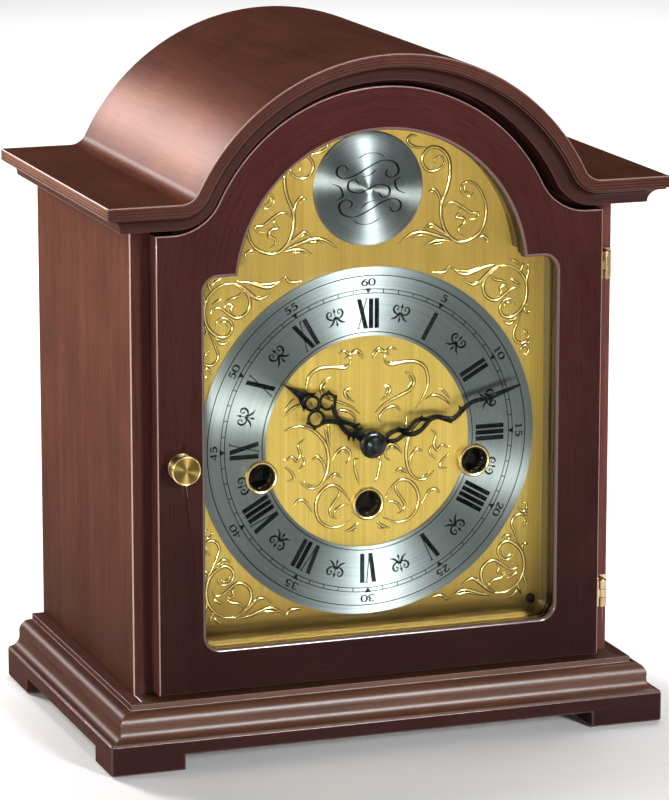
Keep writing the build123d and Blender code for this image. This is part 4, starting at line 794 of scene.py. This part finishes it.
def bar(deg, s0, r0, s1, r1, w):
    """A straight stroke in a numeral's own frame, from (s0, r0) to (s1, r1), w wide across."""
    marks.polygon([polar(deg, r0, s0 - w / 2), polar(deg, r0, s0 + w / 2), polar(deg, r1, s1 + w / 2), polar(deg, r1, s1 - w / 2)], YB, YF)


R_IN, R_OUT = 51.2, 64.6
THICK, HAIR = 2.08, 0.46
LETTER = {"I": 2.72, "V": 5.3, "X": 5.3}


def serif(deg, s, r, w):
    marks.polygon([polar(deg, r - 0.18, s - w / 2), polar(deg, r - 0.18, s + w / 2), polar(deg, r + 0.18, s + w / 2), polar(deg, r + 0.18, s - w / 2)], YB, YF)


def numeral(deg, text):
    total = sum(LETTER[c] for c in text)
    s = -total / 2
    for c in text:
        w = LETTER[c]
        m = s + w / 2
        if c == "I":
            bar(deg, m, R_IN, m, R_OUT, THICK)
        elif c == "V":
            a, b = s + 1.05, s + w - 0.75
            bar(deg, a, R_OUT, m + 0.2, R_IN, THICK)
            bar(deg, b, R_OUT, m + 0.7, R_IN, HAIR)
            serif(deg, b, R_OUT - 0.05, 1.5)
        else:
            a, b = s + 1.05, s + w - 1.05
            bar(deg, a, R_OUT, b, R_IN, THICK)
            bar(deg, b + 0.3, R_OUT, a - 0.3, R_IN, HAIR)
            for p, r in ((b + 0.3, R_OUT - 0.05), (a - 0.3, R_IN + 0.05)):
                serif(deg, p, r, 1.4)
        s += w


for i, text in enumerate(("XII", "I", "II", "III", "IIII", "V", "VI", "VII", "VIII", "IX", "X", "XI")):
    numeral(30.0 * i, text)
for r, w in ((49.6, 0.42), (67.0, 0.36), (68.8, 0.36), (74.9, 0.42)):
    marks.annulus((0.0, CZ), r - w / 2, r + w / 2, YB, YF)
for i in range(60):
    d = 6.0 * i
    if i % 5:
        bar(d, 0.0, 67.0, 0.0, 68.8, 0.38)
    else:
        marks.polygon([polar(d, 69.2, -1.45), polar(d, 69.2, 1.45), polar(d, 66.7, 0.0)], YB, YF)


def fleur(deg):
    """A small lily: spear and two curls outwards, two tails and a spike inwards, a bar across."""

    def put(line):
        marks.stroke([(*polar(deg, 59.0 + v, u), w) for u, v, w in line], YB, YF, 6)

    put([(0, 0.2, 0.17), (0, 1.6, 0.17), (0, 2.5, 0.22)])
    put([(0, 2.35, 0.66), (0, 3.2, 0.44), (0, 4.3, 0.06)])
    put([(0, -0.3, 0.17), (0, -1.6, 0.18), (0, -2.6, 0.34), (0, -3.3, 0.52), (0, -4.3, 0.06)])
    for s in (1, -1):
        put([(0.1 * s, -0.1, 0.24), (1.5 * s, -0.65, 0.34), (3.0 * s, 0.0, 0.44), (3.75 * s, 1.5, 0.50), (3.05 * s, 3.0, 0.36), (1.95 * s, 2.95, 0.24), (1.45 * s, 2.0, 0.20), (2.0 * s, 1.35, 0.32), (2.4 * s, 1.7, 0.12)])
        put([(0.1 * s, -0.3, 0.26), (1.2 * s, -1.4, 0.46), (2.3 * s, -2.6, 0.44), (4.2 * s, -3.5, 0.06)])
    put([(-1.0, 0.0, 0.32), (1.0, 0.0, 0.32)])


for i in range(12):
    fleur(30.0 * i + 15.0)

# digits of the minute circle: strokes (x, y, half width) in a cell 2 wide and 3 high, standing on y = 0
DIGIT = {
    "0": [[(0.95, 0.06, 0.10), (0.28, 0.55, 0.20), (0.14, 1.5, 0.27), (0.28, 2.45, 0.20), (0.95, 2.94, 0.10)], [(0.95, 0.06, 0.10), (1.62, 0.55, 0.20), (1.76, 1.5, 0.27), (1.62, 2.45, 0.20), (0.95, 2.94, 0.10)]],
    "1": [[(0.95, 0.0, 0.24), (0.95, 1.5, 0.24), (0.95, 3.0, 0.24)], [(0.95, 2.9, 0.14), (0.6, 2.6, 0.12), (0.3, 2.45, 0.06)], [(0.35, 0.06, 0.09), (1.55, 0.06, 0.09)]],
    "2": [[(0.3, 2.2, 0.24), (0.55, 2.8, 0.14), (1.05, 2.92, 0.12), (1.55, 2.5, 0.24), (1.45, 1.8, 0.24), (0.9, 0.95, 0.16), (0.25, 0.22, 0.10)], [(0.22, 0.17, 0.18), (1.0, 0.17, 0.18), (1.7, 0.24, 0.16), (1.78, 0.7, 0.06)]],
    "3": [[(0.3, 2.4, 0.22), (0.6, 2.86, 0.12), (1.1, 2.9, 0.12), (1.5, 2.4, 0.24), (1.3, 1.8, 0.18), (0.85, 1.6, 0.08)], [(0.85, 1.6, 0.08), (1.4, 1.4, 0.16), (1.66, 0.85, 0.26), (1.3, 0.2, 0.16), (0.7, 0.08, 0.12), (0.25, 0.5, 0.24)]],
    "4": [[(1.35, 0.0, 0.22), (1.35, 1.5, 0.22), (1.35, 3.0, 0.2)], [(1.3, 2.95, 0.09), (0.7, 1.8, 0.09), (0.12, 0.85, 0.09)], [(0.1, 0.85, 0.11), (1.0, 0.85, 0.11), (1.85, 0.85, 0.11)]],
    "5": [[(0.45, 2.8, 0.18), (1.0, 2.8, 0.18), (1.6, 2.86, 0.14)], [(0.45, 2.85, 0.09), (0.38, 2.2, 0.09), (0.32, 1.55, 0.09)], [(0.32, 1.55, 0.10), (0.9, 1.85, 0.14), (1.5, 1.5, 0.24), (1.6, 0.85, 0.26), (1.2, 0.2, 0.16), (0.65, 0.08, 0.12), (0.25, 0.45, 0.22)]],
    "6": [[(1.6, 2.75, 0.10), (0.95, 2.5, 0.16), (0.4, 1.8, 0.24), (0.22, 0.95, 0.27), (0.6, 0.2, 0.16), (1.05, 0.08, 0.12)], [(0.3, 1.2, 0.10), (0.85, 1.72, 0.12), (1.45, 1.5, 0.20), (1.68, 0.9, 0.26), (1.45, 0.3, 0.18), (1.0, 0.07, 0.10)]],
}
for i in range(12):
    text = str(5 * i or 60)
    deg = 30.0 * i
    kx, ky = 1.62, 1.06
    pitch = 2.12 * kx
    s0 = -len(text) * pitch / 2
    for n, ch in enumerate(text):
        for line in DIGIT[ch]:
            marks.stroke([(*polar(deg, 70.35 + y * ky, s0 + n * pitch + (0.1 + x) * kx), w * 1.75) for x, y, w in line], YB, YF, 5)
add_object("ring_markings", marks.mesh("ring_markings", 30.0), "case", M["ink"])

# ================================================================== flourish on the arch disc (ornament only)
flourish = Flat()


def boss_front(x, z):
    """Front face of the domed disc at this place, in mm."""
    r = math.hypot(x, z)
    pr = ((0.0, 1.5), (BOSS_R - 6, 1.25), (BOSS_R - 0.5, 0.9), (BOSS_R, 0.5))
    for (r0, h0), (r1, h1) in zip(pr, pr[1:]):
        if r <= r1:
            return DIAL_Y - (h0 + (h1 - h0) * (r - r0) / (r1 - r0))
    return DIAL_Y


def pen(line, w):
    s = catmull(line, 9)
    n = len(s)
    d = np.gradient(s, axis=0)
    d /= np.maximum(np.linalg.norm(d, axis=1), 1e-9)[:, None]
    rings = []
    for i in range(n):
        # a broad nib: full on the down strokes, fine on the cross strokes
        hw = w * (0.30 + 0.70 * abs(d[i, 1]) ** 1.5) * (0.35 + 0.65 * math.sin(math.pi * i / (n - 1)) ** 0.5)
        nx = (-d[i, 1], d[i, 0])
        a, b = (s[i, 0] - nx[0] * hw, s[i, 1] - nx[1] * hw), (s[i, 0] + nx[0] * hw, s[i, 1] + nx[1] * hw)
        ya, yb = boss_front(*a), boss_front(*b)
        rings.append([(a[0], ya + 0.05, BOSS_Z + a[1]), (a[0], ya - 0.04, BOSS_Z + a[1]), (b[0], yb - 0.04, BOSS_Z + b[1]), (b[0], yb + 0.05, BOSS_Z + b[1])])
    flourish.loft(rings, [0.0, 1.0, 1.0, 0.0])


FLOURISH = [
    ([(-9.5, 8.6), (-11.5, 10.9), (-14.3, 10.0), (-14.8, 7.0), (-11.6, 5.0), (-6.0, 6.4), (0.0, 9.6), (6.5, 12.2), (12.2, 10.8), (13.8, 6.8), (10.9, 4.4), (7.9, 5.8), (8.7, 8.2)], 0.62),
    ([(-4.4, 1.9), (-6.4, 4.2), (-9.4, 3.2), (-9.2, -0.2), (-4.6, -1.7), (0.0, 0.0), (4.6, 1.7), (9.2, 0.2), (9.4, -3.2), (6.4, -4.2), (4.4, -1.9)], 0.62),
    ([(-17.0, 3.0), (-13.4, 1.2), (-12.2, -2.6), (-14.8, -4.4)], 0.54),
    ([(-5.0, 13.6), (-0.6, 15.6), (4.4, 15.4), (7.2, 13.8)], 0.50),
    ([(-3.4, 5.2), (0.6, 6.2), (3.6, 8.4)], 0.46),
]
for n, (line, w) in enumerate(FLOURISH):
    pen(line, w)
    if n != 1:
        pen([(-x, -z) for x, z in line], w)
add_object("disc_flourish", flourish.mesh("disc_flourish", 30.0), "case", M["ink"])


# ================================================================== hands: pierced and slightly domed
def hand(name, node, body, deg, y_back, y_front, strokes, rings, blobs, hub, bold=1.0):
    h = Flat()
    a = math.radians(deg)

    def at(v, u):
        return (v * math.sin(a) - u * math.cos(a), CZ + v * math.cos(a) + u * math.sin(a))

    for line in strokes:
        h.stroke([(*at(v, u), w * bold) for v, u, w in line], y_back, y_front, 8, "strip")
    for v, u, r0, r1 in rings:
        n = 40
        c = at(v, u)
        h_rings = []
        rm, rw = (r0 + r1) / 2, (r1 - r0) / 2
        base = len(h.v)
        prof = ((-1.0, 0.0), (-1.0, 0.55), (-0.55, 1.0), (0.55, 1.0), (1.0, 0.55), (1.0, 0.0))
        for i in range(n):
            t = 2 * math.pi * i / n
            for q, b in prof:
                r = rm + rw * q
                h.v.append(((c[0] + r * math.cos(t)) * MM, (y_back + (y_front - y_back) * b) * MM, (c[1] + r * math.sin(t)) * MM))
                h.h.append(b)
        k = len(prof)
        for i in range(n):
            for j in range(k):
                p, q = base + i * k + j, base + i * k + (j + 1) % k
                p2, q2 = base + ((i + 1) % n) * k + j, base + ((i + 1) % n) * k + (j + 1) % k
                h.f.append((p, q, q2, p2))
    for v, u, r in blobs:
        dome(h, at(v, u), r, y_back, y_front)
    inner, outer = hub
    base = len(h.v)
    n = 56
    prof = ((inner, 0.0), (inner, 1.0), (outer - 0.25, 1.0), (outer, 0.65), (outer, 0.0))
    for i in range(n):
        t = 2 * math.pi * i / n
        for r, b in prof:
            h.v.append((r * math.cos(t) * MM, (y_back + (y_front - y_back) * b) * MM, (CZ + r * math.sin(t)) * MM))
            h.h.append(b)
    k = len(prof)
    for i in range(n):
        for j in range(k):
            p, q = base + i * k + j, base + i * k + (j + 1) % k
            p2, q2 = base + ((i + 1) % n) * k + j, base + ((i + 1) % n) * k + (j + 1) % k
            h.f.append((p, q, q2, p2))
    return add_object(name, h.mesh(name, 40.0), body, M["black"], (node,))


def dome(h, c, r, y_back, y_front, n=20):
    """A small round boss with a softened edge."""
    base = len(h.v)
    prof = ((1.0, 0.0), (1.0, 0.5), (0.82, 0.85), (0.45, 1.0))
    for q, b in prof:
        for i in range(n):
            t = 2 * math.pi * i / n
            h.v.append(((c[0] + r * q * math.cos(t)) * MM, (y_back + (y_front - y_back) * b) * MM, (c[1] + r * q * math.sin(t)) * MM))
            h.h.append(b)
    for m in range(len(prof) - 1):
        for i in range(n):
            j = (i + 1) % n
            h.f.append((base + m * n + i, base + m * n + j, base + (m + 1) * n + j, base + (m + 1) * n + i))
    h.f.append(tuple(base + i for i in range(n))[::-1])
    h.f.append(tuple(base + (len(prof) - 1) * n + i for i in range(n)))


MINUTE = [
    [(2.5, 0, 1.8), (7.6, -0.1, 1.2)],
    [(6.3, 0.2, 0.7), (8.0, 1.3, 0.75), (10.0, 1.9, 0.75), (12.5, 1.8, 0.7), (15.4, 0.7, 0.75)],
    [(6.3, -0.4, 0.7), (8.0, -1.7, 0.75), (10.0, -2.3, 0.75), (12.5, -2.1, 0.7), (15.6, -0.9, 0.8)],
    [(15.0, 0.4, 0.9), (13.9, 2.0, 0.55), (13.3, 3.2, 0.2)],
    [(15.4, -0.5, 0.9), (17.2, -2.2, 0.6), (18.4, -3.6, 0.2)],
    [(14.8, 0.7, 0.75), (17.5, 0.4, 0.7), (19.6, 1.2, 0.7), (21.5, 2.4, 0.75), (23.6, 2.7, 0.7), (26.0, 1.9, 0.7), (28.2, 0.6, 0.8)],
    [(15.0, -0.8, 0.8), (17.5, -2.0, 0.8), (20.0, -2.7, 0.8), (23.0, -2.3, 0.75), (26.0, -0.8, 0.75), (28.2, 0.6, 0.8)],
    [(24.4, 2.4, 0.8), (25.6, 3.9, 0.2)],
    [(27.6, 0.6, 0.9), (30.0, 0.9, 0.8), (32.6, 0.4, 0.8), (35.0, -1.2, 0.85), (36.9, -2.5, 0.95), (39.0, -2.9, 0.85), (41.2, -2.4, 0.8), (43.6, -1.2, 0.8), (46.1, 0.0, 0.75), (48.5, 0.7, 0.7), (50.8, 0.9, 0.7), (54.0, 0.5, 0.7), (57.0, 0.0, 0.85), (59.4, 0.0, 0.95), (62.0, 0.0, 0.8), (68.0, 0.0, 0.6), (73.5, 0.0, 0.35)],
    [(36.4, -2.2, 0.8), (37.0, -3.6, 0.5), (37.8, -4.6, 0.2)],
    [(43.2, -1.4, 0.8), (43.6, 0.2, 0.5), (43.2, 1.6, 0.2)],
    [(59.0, 0.0, 0.8), (57.4, 1.4, 0.5), (56.2, 2.6, 0.2)],
    [(59.0, 0.0, 0.8), (58.2, -1.8, 0.5), (57.4, -3.2, 0.2)],
]
hand("minute_hand_pierced", "minute_hand", "minute", MINUTE_DEG, -57.6, -58.4, MINUTE, [], [], (1.52, 4.4), 1.45)
HOUR = [[(3.5, 0, 2.0), (9.6, 0, 1.2)], [(38.6, 0, 1.5), (40.2, 0, 1.45), (43.2, 0, 0.95), (49.8, 0, 0.22)]]
HRINGS, HBLOBS = [(34.2, 0, 2.5, 3.8)], [(30.6, 0, 1.1)]
for s in (1, -1):
    HOUR += [
        [(8.4, 0.3 * s, 0.8), (10.2, 1.7 * s, 0.85), (12.4, 2.1 * s, 0.8), (15.0, 1.5 * s, 0.8), (18.6, 0.2 * s, 0.9)],
        [(9.4, 0.8 * s, 0.8), (8.2, 2.5 * s, 0.5), (7.6, 3.6 * s, 0.2)],
        [(11.0, 2.0 * s, 0.8), (10.4, 3.5 * s, 0.5), (9.6, 4.6 * s, 0.2)],
        [(17.8, 0.2 * s, 0.9), (20.5, 1.1 * s, 0.85), (23.0, 2.5 * s, 0.85), (25.0, 4.2 * s, 0.85)],
        [(37.0, 2.2 * s, 0.9), (36.2, 3.6 * s, 0.5), (35.4, 4.8 * s, 0.2)],
        [(35.6, 3.4 * s, 0.7), (37.8, 2.4 * s, 0.8), (40.6, 0.6 * s, 0.9)],
    ]
    HRINGS.append((28.5, 4.6 * s, 2.85, 4.2))
    HBLOBS += [(24.9, 4.4 * s, 1.25), (26.6, 8.3 * s, 0.9), (30.6, 8.3 * s, 0.8)]
hand("hour_hand_pierced", "hour_hand", "hour", HOUR_DEG, -55.5, -56.3, HOUR, HRINGS, HBLOBS, (3.02, 5.2), 1.32)


# ================================================================== stage: floor, light, camera
def floor_material():
    m = Nodes("floor_paper")
    n = m.noise(m.obj(), 3.0, 3.0, 0.5)
    col = m.mix(n, (0.93, 0.93, 0.93), (0.96, 0.96, 0.96))
    return m.set(color=col, rough=0.8, spec=0.1)


me = bpy.data.meshes.new("floor")
bm = bmesh.new()
bmesh.ops.create_circle(bm, cap_ends=True, segments=96, radius=14.0)
bm.to_mesh(me)
bm.free()
me.materials.append(floor_material())
floor = bpy.data.objects.new("floor", me)
floor.location = (0, 0, -0.0005)
bpy.context.scene.collection.objects.link(floor)


def area(name, at, aim, size, power, colour=(1, 1, 1), size_y=None, spread=180.0):
    d = bpy.data.lights.new(name, "AREA")
    d.shape = "RECTANGLE"
    d.size, d.size_y = size, size_y or size
    d.energy = power
    d.color = colour
    d.spread = math.radians(spread)
    o = bpy.data.objects.new(name, d)
    o.location = at
    o.rotation_euler = (Vector(aim) - Vector(at)).to_track_quat("-Z", "Y").to_euler()
    bpy.context.scene.collection.objects.link(o)
    return o


area("front_left_box", (-1.00, -2.28, 0.22), (0, -0.05, 0.28), 0.5, 0.96, (1.0, 0.98, 0.95), 0.5, 18.0)
area("front_right_box", (0.70, -2.22, 0.95), (0, -0.05, 0.27), 0.30, 2.5, (0.97, 0.98, 1.0), 1.2, 22.0)
area("side_box", (-2.05, 0.50, 0.80), (0, 0, 0.24), 0.9, 1.08, (1.0, 0.95, 0.88), 0.9, 32.0)
area("rim_box", (-1.12, 2.75, 1.12), (0, 0, 0.25), 0.8, 11.0, (1.0, 0.96, 0.97), 0.5, 50.0)
area("arch_strip", (-0.45, 0.0, 0.2690), (0, 0, 0.2690), 0.17, 0.145, (1.0, 0.97, 0.91), 0.022, 7.0)
area("back_box", (0.55, 1.45, 2.5), (0.55, 1.40, 0.0), 2.0, 32.0, (1.0, 0.99, 0.98), 2.0, 90.0)
area("table_box", (0.36, -0.58, 1.7), (0.36, -0.58, 0.0), 0.5, 0.33, (1.0, 0.99, 0.98), 0.5, 29.0)

world = bpy.data.worlds.new("studio")
world.use_nodes = True
bpy.context.scene.world = world
bg = world.node_tree.nodes["Background"]
bg.inputs[0].default_value = (0.86, 0.88, 0.92, 1)
bg.inputs[1].default_value = 0.12

scene = bpy.context.scene
scene.view_settings.view_transform = "Standard"
scene.view_settings.look = "None"

cam_data = bpy.data.cameras.new("camera")
cam = bpy.data.objects.new("camera", cam_data)
scene.collection.objects.link(cam)
cam_data.sensor_width = 36.0
cam_data.lens = 191.9
cam.location = (-0.6291, -1.78395, 0.55936)
yaw, pitch = math.radians(19.498), math.radians(-12.485)
look = Vector((math.sin(yaw) * math.cos(pitch), math.cos(yaw) * math.cos(pitch), math.sin(pitch)))
cam.rotation_mode = "QUATERNION"
cam.rotation_quaternion = look.to_track_quat("-Z", "Y")
cam_data.clip_start, cam_data.clip_end = 0.05, 60.0
scene.camera = cam

bpy.context.view_layer.update()
